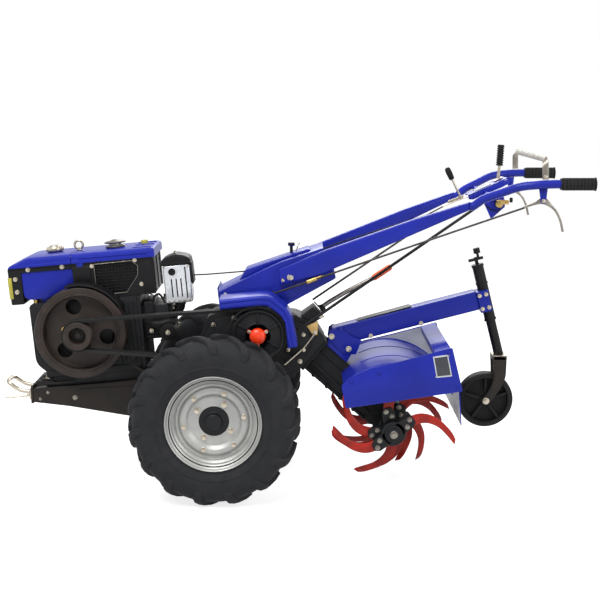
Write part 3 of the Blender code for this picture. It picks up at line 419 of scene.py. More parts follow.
def ringMesh(mesh, count, finish, radius=0.0, along=0.0, start=0.0):
    model, holder = loose(mesh), loose(bpy.data.meshes.new("holder"))
    step = holder.modifiers.new("ring", "NODES")
    step.node_group = ringTree
    values = {"Copy": model, "Count": count, "Radius": radius, "Along": along, "Start": start,
              "Finish": finishes[finish]}
    for item in ringTree.interface.items_tree:
        if item.in_out == "INPUT":
            step[item.identifier] = values[item.name]
    result = settled(holder)
    bpy.data.objects.remove(model)
    return result


def carcassMesh():
    t = tyre
    side = [(t["carcassR"], 0.0), (t["carcassR"] - 0.001, 0.030), (0.296, 0.056), (0.284, 0.071), (0.266, 0.0785),
            (0.245, t["shoulder"] + 0.001), (0.225, 0.0795), (0.215, 0.0782), (0.2135, 0.0795), (0.2105, 0.0795),
            (0.209, 0.0775), (0.196, 0.0735), (0.1865, 0.0690), (0.1845, 0.0700), (0.1815, 0.0690), (0.1795, 0.066),
            (0.170, 0.0605), (0.160, t["beadHalf"]), (t["beadR"], 0.048)]
    return latheMesh(side[::-1] + [(r, -a) for r, a in side[1:]], 96)


def buildTyres():
    lug = bevelled(lugMesh(), 0.0022, 2, 25)
    mirrored = moved(lug.copy(), Matrix.Diagonal((1, -1, 1, 1)))
    mirrored.flip_normals()
    halfStep = math.pi / tyre["lugs"]
    for side, word in ((-1, "left"), (1, "right")):
        place = Matrix.Translation((axle.x, side * 0.370, axle.z))
        carcass = carcassMesh()
        carcass.materials.append(finishes["vulcanisedRubber"])
        rows = [ringMesh(lug.copy(), tyre["lugs"], "vulcanisedRubber"),
                ringMesh(mirrored.copy(), tyre["lugs"], "vulcanisedRubber", start=halfStep)]
        mesh = together([carcass, *rows])
        mesh.materials.append(finishes["vulcanisedRubber"])
        newPiece(word + "TyreCover", moved(mesh, place), "vulcanisedRubber", "wheel_" + word, ["tyre_" + word], 30)


rim = dict(flangeR=0.1785, flangeOut=0.0675, seatR=0.1535, discR=0.1490, bolts=6, boltRing=0.112, vents=4)


def hexBolt(across, height, washer=0.0):
    # A hexagon head on its washer, its axis along -Y
    head = bevelled(drumMesh((0, -height / 2 - washer, 0), across / math.sqrt(3), height / 2, "Y", 6), across * 0.05, 2)
    parts = [head, drumMesh((0, -height - washer - height * 0.12, 0), across * 0.26, height * 0.14, "Y", 12)]
    if washer:
        parts.append(bevelled(drumMesh((0, -washer / 2, 0), across * 0.78, washer / 2, "Y", 20), washer * 0.3, 1))
    return together(parts)


def buildRims():
    outer = [(0.1785, 0.0680), (0.1785, 0.0705), (0.1765, 0.0725), (0.1738, 0.0715), (0.1722, 0.0690), (0.1700, 0.0640),
             (0.1655, 0.0595), (0.1560, 0.0560), (0.1540, 0.0520), (0.1530, 0.0400), (0.1445, 0.0340), (0.1425, 0.0280),
             (0.1420, 0.0240)]
    disc = [(0.1400, 0.0225), (0.1320, 0.0225), (0.1270, 0.0290), (0.1200, 0.0330), (0.1080, 0.0325), (0.1010, 0.0280),
            (0.0960, 0.0205), (0.0880, 0.0180), (0.0700, 0.0180), (0.0640, 0.0195), (0.0560, 0.0195)]
    for side, word in ((-1, "left"), (1, "right")):
        face = Matrix.Translation((axle.x, side * 0.370, axle.z)) @ Matrix.Rotation(0 if side < 0 else math.pi, 4, "Z")
        front = [(r, -a) for r, a in outer + disc]
        inside = [(0.0560, -0.0150), (0.0880, -0.0140), (0.0930, -0.0160), (0.0990, -0.0240), (0.1080, -0.0285),
                  (0.1200, -0.0290), (0.1390, -0.0180), (0.1390, 0.0340), (0.1500, 0.0430), (0.1510, 0.0560),
                  (0.1700, 0.0640), (0.1720, 0.0715), (0.1765, 0.0725), (0.1785, 0.0680), (0.1742, 0.0660),
                  (0.1712, 0.0600), (0.1550, 0.0545), (0.1545, -0.0500), (0.1700, -0.0625), (0.1742, -0.0670)]
        shell = latheMesh(front + inside, 96)
        shell.materials.append(finishes["aluminiumPaint"])
        newPiece(word + "WheelRim", moved(shell, face), "aluminiumPaint", "wheel_" + word, ["rim_" + word], 50)
        bolt = hexBolt(0.013, 0.007, 0.002)
        ring = ringMesh(bolt, rim["bolts"], "brightZinc", rim["boltRing"], -0.0328, 0.35)
        inner = ringMesh(hexBolt(0.015, 0.009, 0.002), 4, "brightZinc", 0.072, -0.0182, 0.55)
        newPiece(word + "WheelBolts", moved(together([ring, inner]), face), "brightZinc", "wheel_" + word)
        hub = latheMesh([(0.0, -0.0475), (0.0260, -0.0475), (0.0295, -0.0455), (0.0310, -0.0420), (0.0330, -0.0240),
                         (0.0360, -0.0215), (0.0535, -0.0210), (0.0550, -0.0190), (0.0550, -0.0148), (0.0800, -0.0145),
                         (0.0800, -0.0040), (0.0500, 0.0020), (0.0460, 0.0100), (0.0460, 0.1555), (0.0, 0.1555)],
                        64, False)
        cap = latheMesh([(0.0, -0.0490), (0.0200, -0.0490), (0.0235, -0.0480), (0.0235, -0.0470), (0.0, -0.0470)], 32,
                        False)
        newPiece(word + "HubCasting", moved(together([hub, cap]), face), "sandCastBlack", "wheel_" + word,
                 ["axle_hub_" + word], 40)


buildTyres()
buildRims()
print("wheels made")


# Engine. Its pieces are drawn in the engine's own frame: along, across, above the crankshaft.

def onEngine(mesh):
    return moved(mesh, engineFrame)


def ringSection(stations):
    # A closed skin through rings of the same count, each a list of three-part points
    work = bmesh.new()
    rings = [[work.verts.new(spot) for spot in ring] for ring in stations]
    count = len(rings[0])
    for first, second in zip(rings, rings[1:]):
        for i in range(count):
            j = (i + 1) % count
            work.faces.new((first[i], first[j], second[j], second[i]))
    work.faces.new(rings[0][::-1])
    work.faces.new(rings[-1])
    bmesh.ops.recalc_face_normals(work, faces=work.faces)
    mesh = bpy.data.meshes.new("skin")
    work.to_mesh(mesh)
    work.free()
    return mesh


def torusMesh(centre, ringR, wireR, steps=40):
    circle = [(ringR + wireR * math.cos(i * math.pi / 6), wireR * math.sin(i * math.pi / 6)) for i in range(12)]
    return moved(latheMesh(circle, steps), Matrix.Translation(centre))


def bolts(name, spots, across, finish="brightZinc", body="machine", height=None, washer=0.0015, facing=None, frame_=None):
    # Hexagon bolts with their feet at the spots and their heads towards -Y, or the way that facing turns them
    turn = facing or Matrix.Identity(4)
    heads = [moved(hexBolt(across, height or across * 0.5, washer), Matrix.Translation(spot) @ turn
                   @ Matrix.Rotation(i * 0.4, 4, "Y")) for i, spot in enumerate(spots)]
    return newPiece(name, moved(together(heads), frame_ or Matrix.Identity(4)), finish, body)


towardsRight = Matrix.Rotation(math.pi, 4, "Z")
towardsFront = Matrix.Rotation(-math.pi / 2, 4, "Z")
towardsRear = Matrix.Rotation(math.pi / 2, 4, "Z")
upwards = Matrix.Rotation(-math.pi / 2, 4, "X")
downwards = Matrix.Rotation(math.pi / 2, 4, "X")

hood = dict(left=-0.124, right=0.144, low=0.2572, top=0.293, split=-0.019, front=-0.262, rear=0.301, sheet=0.003)


def hoodRing(u, share, grow=0.0):
    # One section of the pressed cover, with its height at this share of the whole
    h = hood
    outer = [(0, 0), (0, 0.0085), (0.0032, 0.0110), (0.0036, 0.0215), (0.0060, 0.0290), (0.0110, 0.0335), (0.0190, 0.0358)]
    inner = [(s + 0.0032, max(0.0, up - 0.003)) for s, up in outer]
    left = [(h["left"] + s - grow, h["low"] + up * share) for s, up in outer]
    right = [(h["right"] - s + grow, h["low"] + up * share) for s, up in outer]
    innerLeft = [(h["left"] + s, h["low"] + up * share - 0.0001) for s, up in inner]
    innerRight = [(h["right"] - s, h["low"] + up * share - 0.0001) for s, up in inner]
    return [(u, y, w) for y, w in left + right[::-1] + innerRight + innerLeft[::-1]]


def buildHoods():
    h = hood
    nose = ringSection([hoodRing(h["front"], 0.12), hoodRing(-0.2585, 0.22), hoodRing(-0.252, 0.33),
                        hoodRing(-0.225, 0.62), hoodRing(-0.200, 0.89), hoodRing(-0.190, 0.965),
                        hoodRing(-0.178, 1.0), hoodRing(h["split"] - 0.0012, 1.0)])
    lip = boxMesh((h["front"] + 0.0005, h["left"] + 0.004, h["low"]), (h["front"] + 0.0035, h["right"] - 0.004, h["low"] + 0.004))
    newPiece("tankCoverPressing", onEngine(together([nose, lip])), "bakedBlueEnamel", replaced=["tank_cover"], smooth=30)
    rear = ringSection([hoodRing(h["split"] + 0.0012, 1.0), hoodRing(0.284, 1.0), hoodRing(0.293, 0.975),
                        hoodRing(0.2985, 0.92), hoodRing(h["rear"], 0.83)])
    end = boxMesh((h["rear"] - 0.004, h["left"] + 0.0045, h["low"]), (h["rear"] - 0.0005, h["right"] - 0.0045, h["low"] + 0.0265))
    ribs = [ringSection([[(u, -0.1205 - d, 0.2755 + s) for d, s in ((0, -r), (r * 0.8, -r * 0.5), (r * 0.8, r * 0.5), (0, r))]
                         for u, r in ((0.006, 0.0005), (0.014, 0.003), (0.268, 0.003), (0.276, 0.0005))])]
    ribs.append(moved(ribs[0].copy(), Matrix.Translation((0, 0.020, 0)) @ Matrix.Diagonal((1, -1, 1, 1))))
    facesOut(ribs[1])
    topRibs = [bevelled(boxMesh((0.215, y - 0.006, 0.2925), (0.288, y + 0.006, 0.2962)), 0.0022, 3) for y in (-0.075, 0.010, 0.095)]
    newPiece("radiatorCoverPressing", onEngine(together([rear, end, *ribs, *topRibs])), "bakedBlueEnamel",
             replaced=["radiator_hood"], smooth=30)
    tab = bevelled(outlineMesh([(-0.001, 0.2572), (0.0005, 0.2465), (0.0085, 0.2400), (0.0200, 0.2410), (0.0300, 0.2572)],
                               -0.1225, -0.1195), 0.0006)
    newPiece("coverTab", onEngine(tab), "bakedBlueEnamel")


def buildTank():
    newPiece("fuelTankPressing", bevelled(cadCopy("fuel_tank"), 0.003, 3), "bakedBlueEnamel", replaced=["fuel_tank"])
    strips = []
    for y in (-0.1160, 0.1305):
        strips.append(bevelled(boxMesh((-0.2635, y, 0.2375), (-0.0170, y + 0.0035, 0.2570)), 0.001))
    newPiece("tankStrips", onEngine(together(strips)), "satinBlackPaint")
    bolts("tankStripBolts", [(-0.1876, -0.1162, 0.2478), (-0.0563, -0.1162, 0.2478)], 0.0115, "brightZinc", frame_=engineFrame)
    bolts("tankStripBoltsRight", [(-0.1876, 0.1342, 0.2478), (-0.0563, 0.1342, 0.2478)], 0.0115, facing=towardsRight,
          frame_=engineFrame)
    body = latheMesh([(0, 0), (0.0300, 0), (0.0325, 0.0030), (0.0330, 0.0080), (0.0330, 0.0150), (0.0310, 0.0185),
                      (0.0225, 0.0200), (0.0205, 0.0225), (0.0185, 0.0245), (0, 0.0250)], 40, False)
    knurls = ringMesh(bevelled(boxMesh((-0.0016, 0.0035, 0.0322), (0.0016, 0.0150, 0.0344)), 0.0006, 1), 28, "brightZinc")
    cap = together([body, knurls, drumMesh((0, -0.003, 0), 0.0265, 0.004, "Y", 32)])
    newPiece("fuelFillerCap", onEngine(moved(cap, Matrix.Translation((-0.105, 0.030, 0.2945)) @ Matrix.Rotation(math.pi / 2, 4, "X"))),
             "brightZinc", replaced=["fuel_cap"])
    neck = drumMesh((-0.105, 0.030, 0.2940), 0.0270, 0.0035, "Z", 32)
    newPiece("fuelNeck", onEngine(neck), "satinBlackPaint")


def buildCaps():
    base = latheMesh([(0, 0), (0.0370, 0), (0.0380, 0.0015), (0.0380, 0.0070), (0.0365, 0.0085), (0.0250, 0.0090),
                      (0.0240, 0.0110), (0.0240, 0.0150), (0.0350, 0.0165), (0.0365, 0.0185), (0.0365, 0.0225),
                      (0.0340, 0.0245), (0.0180, 0.0260), (0.0120, 0.0300), (0, 0.0305)], 48, False)
    ears = [bevelled(boxMesh((side * 0.033 - 0.008, 0.0165, -0.009), (side * 0.033 + 0.008, 0.0225, 0.009)), 0.0025, 2)
            for side in (-1, 1)]
    place = Matrix.Translation((0.1375, 0, 0.2940)) @ Matrix.Rotation(math.pi / 2, 4, "X")
    newPiece("radiatorFillerCap", onEngine(moved(together([base, *ears]), place)), "brushedSteelBar", replaced=["radiator_cap"])
    eye = together([torusMesh((-0.004, 0, 0.3165), 0.016, 0.0048), bevelled(drumMesh((-0.004, 0, 0.2965), 0.0105, 0.0035, "Z", 24), 0.001),
                    drumMesh((-0.004, 0, 0.3000), 0.0060, 0.0040, "Z", 24)])
    newPiece("liftingEyeForging", onEngine(eye), "brightZinc", replaced=["lifting_eye"])
    gauge = together([drumMesh((0.245, 0.040, 0.2960), 0.017, 0.0040, "Z", 32), torusMesh((0, 0, 0), 0.016, 0.0018, 32)])
    newPiece("floatGauge", onEngine(together([bevelled(drumMesh((0.245, 0.052, 0.3000), 0.014, 0.0075, "Z", 32), 0.002, 3)])),
             "amberAcrylic")


radiatorLook = dict(pitch=0.0118, wire=0.0017)


def gridTree(name):
    # A woven mesh of square holes: bars set side by side along one direction
    tree = bpy.data.node_groups.new(name, "GeometryNodeTree")
    tree.interface.new_socket("Geometry", in_out="OUTPUT", socket_type="NodeSocketGeometry")
    for label, kind in (("Width", "NodeSocketFloat"), ("Height", "NodeSocketFloat"), ("Columns", "NodeSocketInt"),
                        ("Rows", "NodeSocketInt"), ("Wire", "NodeSocketFloat"), ("Finish", "NodeSocketMaterial")):
        tree.interface.new_socket(label, in_out="INPUT", socket_type=kind)
    given = addNode(tree, "NodeGroupInput").outputs
    grid = addNode(tree, "GeometryNodeMeshGrid", {"Size X": given["Width"], "Size Y": given["Height"],
                                                  "Vertices X": given["Columns"], "Vertices Y": given["Rows"]})
    lines = addNode(tree, "GeometryNodeMeshToCurve", {"Mesh": grid.outputs["Mesh"]})
    profile = addNode(tree, "GeometryNodeCurvePrimitiveCircle", {"Resolution": 4, "Radius": given["Wire"]})
    wires = addNode(tree, "GeometryNodeCurveToMesh", {"Curve": lines.outputs[0], "Profile Curve": profile.outputs[0],
                                                      "Fill Caps": True})
    real = addNode(tree, "GeometryNodeRealizeInstances", {"Geometry": wires.outputs[0]})
    painted = addNode(tree, "GeometryNodeSetMaterial", {"Geometry": real.outputs[0], "Material": given["Finish"]})
    addNode(tree, "NodeGroupOutput", {"Geometry": painted.outputs[0]})
    return tree


meshTree = gridTree("squareMesh")


def squareMesh(width, height, finish):
    pitch = radiatorLook["pitch"]
    holder = loose(bpy.data.meshes.new("holder"))
    step = holder.modifiers.new("mesh", "NODES")
    step.node_group = meshTree
    values = {"Width": width, "Height": height, "Columns": round(width / pitch) + 1, "Rows": round(height / pitch) + 1,
              "Wire": radiatorLook["wire"], "Finish": finishes[finish]}
    for item in meshTree.interface.items_tree:
        if item.in_out == "INPUT":
            step[item.identifier] = values[item.name]
    return settled(holder)


def buildRadiator():
    core = bevelled(boxMesh((-0.0180, -0.1080, 0.1160), (0.2900, 0.1330, 0.2565)), 0.002)
    newPiece("radiatorCore", onEngine(core), "satinBlackPaint", replaced=["radiator"])
    edge = [(-0.0186, 0.1156), (0.2925, 0.1156), (0.2925, 0.2566), (-0.0186, 0.2566)]
    window = [(0.0660, 0.2470), (0.2106, 0.2490), (0.2325, 0.2284), (0.2290, 0.1920), (0.1815, 0.1300), (0.1200, 0.1280),
              (0.0663, 0.1700)]
    plate = carved(outlineMesh(edge, -0.1175, -0.1140), [outlineMesh(window, -0.130, -0.100)])
    plate = bevelled(plate, 0.0007, 1)
    step = bevelled(outlineMesh([(-0.0170, 0.1820), (0.0490, 0.1770), (0.0520, 0.2300), (0.0480, 0.2440), (0.0120, 0.2440),
                                 (-0.0170, 0.2440)], -0.1225, -0.1170), 0.0025, 3)
    panel = bevelled(outlineMesh([(0.2460, 0.1240), (0.2860, 0.1240), (0.2860, 0.2480), (0.2460, 0.2480)], -0.1195, -0.1170), 0.0012)
    newPiece("radiatorSidePlate", onEngine(together([plate, step, panel])), "satinBlackPaint")
    # The bead is the window's folded lip; its bright steel colour is a painted highlight along that black edge
    lip = wireMesh([(u, -0.1180, w) for u, w in window + window[:1]], 0.0015, 2, False)
    newPiece("windowBead", onEngine(lip), "brushedSteelBar")
    sheet = moved(squareMesh(0.170, 0.118, "satinBlackPaint"),
                  Matrix.Translation((0.149, -0.1120, 0.189)) @ Matrix.Rotation(math.pi / 2, 4, "X"))
    newPiece("radiatorMesh", onEngine(sheet), "satinBlackPaint", smooth=0)
    bolts("radiatorBolts", [(0.0575, -0.1177, 0.2411), (0.2235, -0.1177, 0.2500), (0.2400, -0.1177, 0.1560)], 0.0105,
          frame_=engineFrame)
    # The fan side
    ring = [(0.148 + 0.058 * math.cos(i * math.pi / 16), 0.187 + 0.058 * math.sin(i * math.pi / 16)) for i in range(32)]
    rightPlate = carved(outlineMesh(edge, 0.1362, 0.1395), [outlineMesh(ring, 0.120, 0.150)])
    newPiece("fanSidePlate", onEngine(bevelled(rightPlate, 0.0007, 1)), "satinBlackPaint")
    fanMesh = moved(squareMesh(0.112, 0.112, "satinBlackPaint"),
                    Matrix.Translation((0.148, 0.1352, 0.187)) @ Matrix.Rotation(math.pi / 2, 4, "X"))
    newPiece("fanMesh", onEngine(fanMesh), "satinBlackPaint", smooth=0)
    collar = moved(torusMesh((0, 0, 0), 0.0590, 0.0022, 48), Matrix.Translation((0.148, 0.1400, 0.187)))
    newPiece("fanCollar", onEngine(collar), "brushedSteelBar")
    rearSeams = [bevelled(boxMesh((0.2900, y - 0.010, 0.122), (0.2935, y + 0.010, 0.250)), 0.0015) for y in (-0.090, 0.012, 0.114)]
    newPiece("radiatorRearRibs", onEngine(together(rearSeams)), "satinBlackPaint")


lamp = dict(front=-0.267, rear=-0.2152, low=0.1153, top=0.2567)


def buildLamp():
    shell = bevelled(boxMesh((lamp["front"], -0.1150, lamp["low"]), (lamp["rear"], 0.1330, lamp["top"])), 0.006, 3)
    pocket = bevelled(boxMesh((lamp["front"] - 0.02, -0.088, 0.150), (lamp["front"] + 0.012, 0.106, 0.236)), 0.004, 2)
    newPiece("headlampHousing", onEngine(carved(shell, [pocket])), "satinBlackPaint", replaced=["headlamp"])
    amber = [bevelled(boxMesh((lamp["front"] - 0.0022, y, 0.140), (lamp["front"] + 0.0130, y + 0.0140, 0.222)), 0.002, 2)
             for y in (-0.1175, 0.1212)]
    newPiece("amberStrips", onEngine(together(amber)), "amberAcrylic")
    lens = bevelled(boxMesh((lamp["front"] + 0.001, -0.0865, 0.1515), (lamp["front"] + 0.005, 0.1045, 0.2345)), 0.001)
    ribs = [bevelled(boxMesh((lamp["front"] - 0.0012, -0.084 + i * 0.0182, 0.154), (lamp["front"] + 0.002, -0.084 + i * 0.0182 + 0.0165, 0.232)), 0.0012, 2)
            for i in range(10)]
    newPiece("headlampLens", onEngine(together([lens, *ribs])), "clearLampGlass")
    bolts("lampBolts", [(-0.2400, -0.1152, 0.2148), (-0.2390, -0.1152, 0.1652)], 0.0115, frame_=engineFrame)
    bolts("lampBoltsRight", [(-0.2400, 0.1332, 0.2148), (-0.2390, 0.1332, 0.1652)], 0.0115, facing=towardsRight, frame_=engineFrame)


buildHoods()
buildTank()
buildCaps()
buildRadiator()
buildLamp()
print("engine covers made")


# Flywheel, belts and clutch

flywheel = dict(rimR=0.1738, boreR=0.1405, webHoleR=0.030, holeRing=0.099, pulleyR=0.0530, recessR=0.0315)


def grooved(outR, low, high, grooves, depth):
    # Profile of V grooves side by side, from low to high along the axis
    pitch = (high - low) / grooves
    line = []
    for i in range(grooves):
        a = low + i * pitch
        line += [(outR, a + 0.0012), (outR - depth, a + pitch * 0.36), (outR - depth, a + pitch * 0.64),
                 (outR, a + pitch - 0.0012)]
    return line


def buildFlywheel():
    f = flywheel
    face = [(0.0, -0.0700), (0.0130, -0.0700), (0.0145, -0.0685), (0.0150, -0.0640), (f["recessR"] - 0.003, -0.0640),
            (f["recessR"], -0.0670), (f["recessR"], -0.0995), (f["recessR"] + 0.0015, -0.1015), (f["pulleyR"] - 0.0015, -0.1030),
            (f["pulleyR"], -0.1015)]
    ribbed = grooved(f["pulleyR"], -0.1010, -0.0520, 3, 0.0095)
    rest = [(f["pulleyR"], -0.0500), (f["pulleyR"] - 0.003, -0.0480), (0.0430, -0.0440), (0.0420, 0.0040), (0.0440, 0.0065),
            (0.1340, 0.0070), (0.1385, 0.0040), (f["boreR"], -0.0310), (f["boreR"] + 0.0015, -0.0335), (0.1455, -0.0350),
            (0.1485, -0.0345), (0.1500, -0.0330), (0.1515, -0.0345), (0.1690, -0.0350), (0.1725, -0.0335),
            (f["rimR"], -0.0300), (f["rimR"], 0.0300), (0.1725, 0.0335), (0.1700, 0.0350), (0.1440, 0.0350),
            (0.1410, 0.0330), (0.1400, 0.0205), (0.0500, 0.0200), (0.0500, 0.0350), (0.0, 0.0350)]
    wheel = latheMesh(face + ribbed + rest, 112, False)
    holes = [drumMesh((-f["holeRing"] * math.cos(a) * -1, 0.013, f["holeRing"] * math.sin(a)), f["webHoleR"], 0.02, sides=40)
             for a in (math.radians(d) for d in (108, -12, 228))]
    wheel = carved(wheel, holes)
    place = Matrix.Translation(crank)
    newPiece("flywheelCasting", moved(bevelled(wheel, 0.0012, 2, 40), place), "flywheelIron", "flywheel_group", ["flywheel"], 32)
    bosses = [drumMesh((r * math.cos(a), -0.002, r * math.sin(a)), 0.0095, 0.0095, sides=24)
              for r, a in ((0.067, math.radians(171)), (0.067, math.radians(51)), (0.067, math.radians(291)))]
    newPiece("flywheelBosses", moved(together([bevelled(b, 0.001) for b in bosses]), place), "flywheelIron", "flywheel_group")
    heads = [(0.067 * math.cos(a), -0.0115, 0.067 * math.sin(a)) for a in (math.radians(171), math.radians(51), math.radians(291))]
    bolts("flywheelBolts", heads[1:], 0.0100, "flywheelIron", "flywheel_group", frame_=place)
    bolts("flywheelMarkBolt", heads[:1], 0.0115, "yellowZinc", "flywheel_group", frame_=place)
    well = latheMesh([(0, -0.0712), (0.0235, -0.0712), (0.0245, -0.0702), (0.0245, -0.0660), (0, -0.0660)], 56)
    newPiece("crankWell", moved(well, place), "mouldedPolyamide", "flywheel_group")
    newPiece("crankNut", moved(hexBolt(0.020, 0.006, 0.0015), place @ Matrix.Translation((0, -0.0708, 0))), "flywheelIron", "flywheel_group")


belt = dict(strands=3, low=-0.2640, high=-0.2160, thick=0.0085)


def beltLine(small, large, steps=40):
    (x1, z1, r1), (x2, z2, r2) = small, large
    span, lean = math.hypot(x2 - x1, z2 - z1), math.atan2(z2 - z1, x2 - x1)
    spread = math.acos((r1 - r2) / span)
    spots = []
    for (x, z, r), start, end in ((small, lean + spread, lean + 2 * math.pi - spread), (large, lean - spread, lean + spread)):
        for step in range(steps + 1):
            a = start + (end - start) * step / steps
            spots.append((x + r * math.cos(a), z + r * math.sin(a), math.cos(a), math.sin(a)))
    return spots


def buildBelts():
    b = belt
    pitch = (b["high"] - b["low"]) / b["strands"]
    line = beltLine((crank.x, crank.z, 0.0515), (clutch.x, clutch.z, 0.1005))
    strands = []
    for strand in range(b["strands"]):
        middle = b["low"] + pitch * (strand + 0.5)
        work = bmesh.new()
        rings = []
        for x, z, dx, dz in line:
            ring = []
            for across, out in ((-pitch * 0.24, -0.003), (-pitch * 0.40, b["thick"] - 0.001), (-pitch * 0.36, b["thick"]),
                                (pitch * 0.36, b["thick"]), (pitch * 0.40, b["thick"] - 0.001), (pitch * 0.24, -0.003)):
                ring.append(work.verts.new((x + dx * out, middle + across, z + dz * out)))
            rings.append(ring)
        for first, second in zip(rings, rings[1:] + rings[:1]):
            for i in range(6):
                j = (i + 1) % 6
                work.faces.new((first[i], first[j], second[j], second[i]))
        bmesh.ops.recalc_face_normals(work, faces=work.faces)
        mesh = bpy.data.meshes.new("belt")
        work.to_mesh(mesh)
        work.free()
        strands.append(mesh)
    newPiece("vBelts", together(strands), "mouldedGripRubber", replaced=["drive_belt"], smooth=30)


def buildClutch():
    place = Matrix.Translation(clutch)
    ring = [(0.0460, -0.0300), (0.0460, -0.0240), (0.0500, -0.0200), (0.0850, -0.0180), (0.0880, -0.0200), (0.0890, -0.0270),
            (0.0905, -0.0285), (0.0980, -0.0285), (0.1000, -0.0265)]
    ring += grooved(0.1000, -0.0250, 0.0240, 3, 0.0095)
    ring += [(0.1000, 0.0260), (0.0980, 0.0280), (0.0500, 0.0280), (0.0320, 0.0400), (0.0320, 0.1440), (0.0, 0.1440), (0.0, 0.0)]
    newPiece("clutchPulleyCasting", moved(bevelled(latheMesh(ring, 96, False), 0.0008, 1, 40), place), "sandCastBlack",
             "clutch_group", ["clutch_pulley"], 32)
    spokes = []
    for i in range(6):
        spoke = bevelled(boxMesh((-0.006, -0.0235, 0.040), (0.006, -0.0150, 0.0880)), 0.003, 2)
        spokes.append(moved(spoke, Matrix.Rotation(i * math.pi / 3, 4, "Y")))
    newPiece("clutchRibs", moved(together(spokes), place), "sandCastBlack", "clutch_group")
    cap = latheMesh([(0, -0.0470), (0.0120, -0.0463), (0.0200, -0.0440), (0.0262, -0.0400), (0.0295, -0.0345),
                     (0.0305, -0.0290), (0.0305, -0.0200), (0, -0.0200)], 64, False)
    lugs = []
    corner = 0.0370
    for degrees in (150, 30, 270):
        a = math.radians(degrees)
        lugs.append((corner * math.cos(a), corner * math.sin(a)))
    ears = [bevelled(drumMesh((x, -0.0298, z), 0.0075, 0.0028, "Y", 28), 0.0010, 2) for x, z in lugs]
    arms = [bevelled(outlineMesh([(x * 0.3 - z * 0.2, z * 0.3 + x * 0.2), (x - z * 0.19, z + x * 0.19), (x + z * 0.19, z - x * 0.19), (x * 0.3 + z * 0.2, z * 0.3 - x * 0.2)],
                                 -0.0322, -0.0270), 0.0008, 1) for x, z in lugs]
    flange = together([*ears, *arms])
    newPiece("clutchCap", moved(together([cap, flange]), place), "bakedOrangeEnamel", "clutch_group")
    bolts("clutchCapBolts", [(x, -0.0327, z) for x, z in lugs], 0.0085, body="clutch_group", frame_=place, height=0.004, washer=0.001)


guard = dict(face=-0.2870, back=-0.1600, sheet=0.003, innerR=0.1185)


def arched(points, radius=0.03, steps=6):
    # Rounds the corners of an open line in X and Z
    return [(p.x, p.z) for p in rounded([(x, 0, z) for x, z in points], radius, steps)]


def inward(line, distance):
    # The line moved sideways, to the right of its own direction
    result = []
    for i, (x, z) in enumerate(line):
        x0, z0 = line[max(i - 1, 0)]
        x1, z1 = line[min(i + 1, len(line) - 1)]
        length = math.hypot(x1 - x0, z1 - z0) or 1
        result.append((x + (z1 - z0) / length * distance, z - (x1 - x0) / length * distance))
    return result


def stripMesh(first, second, yFirst, ySecond):
    # A skin between two lines of the same count, each set at its own place across
    work = bmesh.new()
    a = [work.verts.new((x, yFirst, z)) for x, z in first]
    b = [work.verts.new((x, ySecond, z)) for x, z in second]
    for i in range(len(a) - 1):
        work.faces.new((a[i], a[i + 1], b[i + 1], b[i]))
    mesh = bpy.data.meshes.new("strip")
    work.to_mesh(mesh)
    work.free()
    return mesh


def thickened(mesh, amount, offset=-1):
    piece = loose(mesh)
    step = piece.modifiers.new("wall", "SOLIDIFY")
    step.thickness = amount
    step.offset = offset
    result = settled(piece)
    facesOut(result)
    return result


def buildGuard():
    ax = axle.x
    outer = arched([(ax + 0.016, 0.7520), (ax + 0.108, 0.7620), (ax + 0.168, 0.7680), (ax + 0.207, 0.7670),
                    (ax + 0.263, 0.7235), (ax + 0.284, 0.6900), (ax + 0.3055, 0.5780)], 0.034, 8)
    profile = ((0.0, guard["back"]), (0.0, guard["face"] + 0.008), (0.0012, guard["face"] + 0.0035), (0.004, guard["face"] + 0.0012),
               (0.008, guard["face"]), (0.0115, guard["face"]), (0.0135, guard["face"] + 0.0022), (0.0185, guard["face"] + 0.0022),
               (0.0205, guard["face"]), (0.0285, guard["face"]), (0.0305, guard["face"] + 0.0022), (0.0345, guard["face"] + 0.0030))
    lines = []
    for depth, y in profile:
        line = inward(outer, depth)
        keptLine = []
        for x, z in line:
            r = math.hypot(x - clutch.x, z - clutch.z)
            if r < guard["innerR"]:
                grow = guard["innerR"] / r
                x, z = clutch.x + (x - clutch.x) * grow, clutch.z + (z - clutch.z) * grow
            keptLine.append((x, z))
        lines.append((keptLine, y))
    skins = [stripMesh(a, b, ya, yb) for (a, ya), (b, yb) in zip(lines, lines[1:])]
    skin = together(skins)
    facesOut(skin)
    body = thickened(skin, guard["sheet"], 0)
    front = bevelled(outlineMesh([(ax + 0.0155, 0.7520), (ax + 0.0195, 0.7150), (ax + 0.0230, 0.7150), (ax + 0.0200, 0.7520)],
                                 guard["face"] + 0.002, guard["back"]), 0.001)
    tab = bevelled(boxMesh((ax + 0.020, -0.170, 0.7440), (ax + 0.062, -0.1105, 0.7480)), 0.001)
    newPiece("beltGuardPressing", together([body, front, tab]), "bakedBlueEnamel", replaced=["belt_guard"], smooth=40)
    arch = []
    for step in range(25):
        a = math.radians(-14 + 190 * step / 24)
        arch.append((clutch.x + 0.1165 * math.cos(a), clutch.z + 0.1165 * math.sin(a)))
    band = thickened(stripMesh(arch, [(clutch.x + (x - clutch.x) * 0.955, clutch.z + (z - clutch.z) * 0.955) for x, z in arch],
                               -0.2780, -0.2795), 0.002, 0)
    newPiece("guardInnerBand", band, "satinBlackPaint")
    bolts("guardBolts", [(ax + 0.030, -0.1370, 0.7478)], 0.012, facing=upwards)


buildFlywheel()
buildBelts()
buildClutch()
buildGuard()
print("flywheel and belts made")


# Engine block, head and the pieces on them

block = dict(front=-0.200, rear=0.225, low=-0.185, top=0.115, left=-0.115, right=0.140)


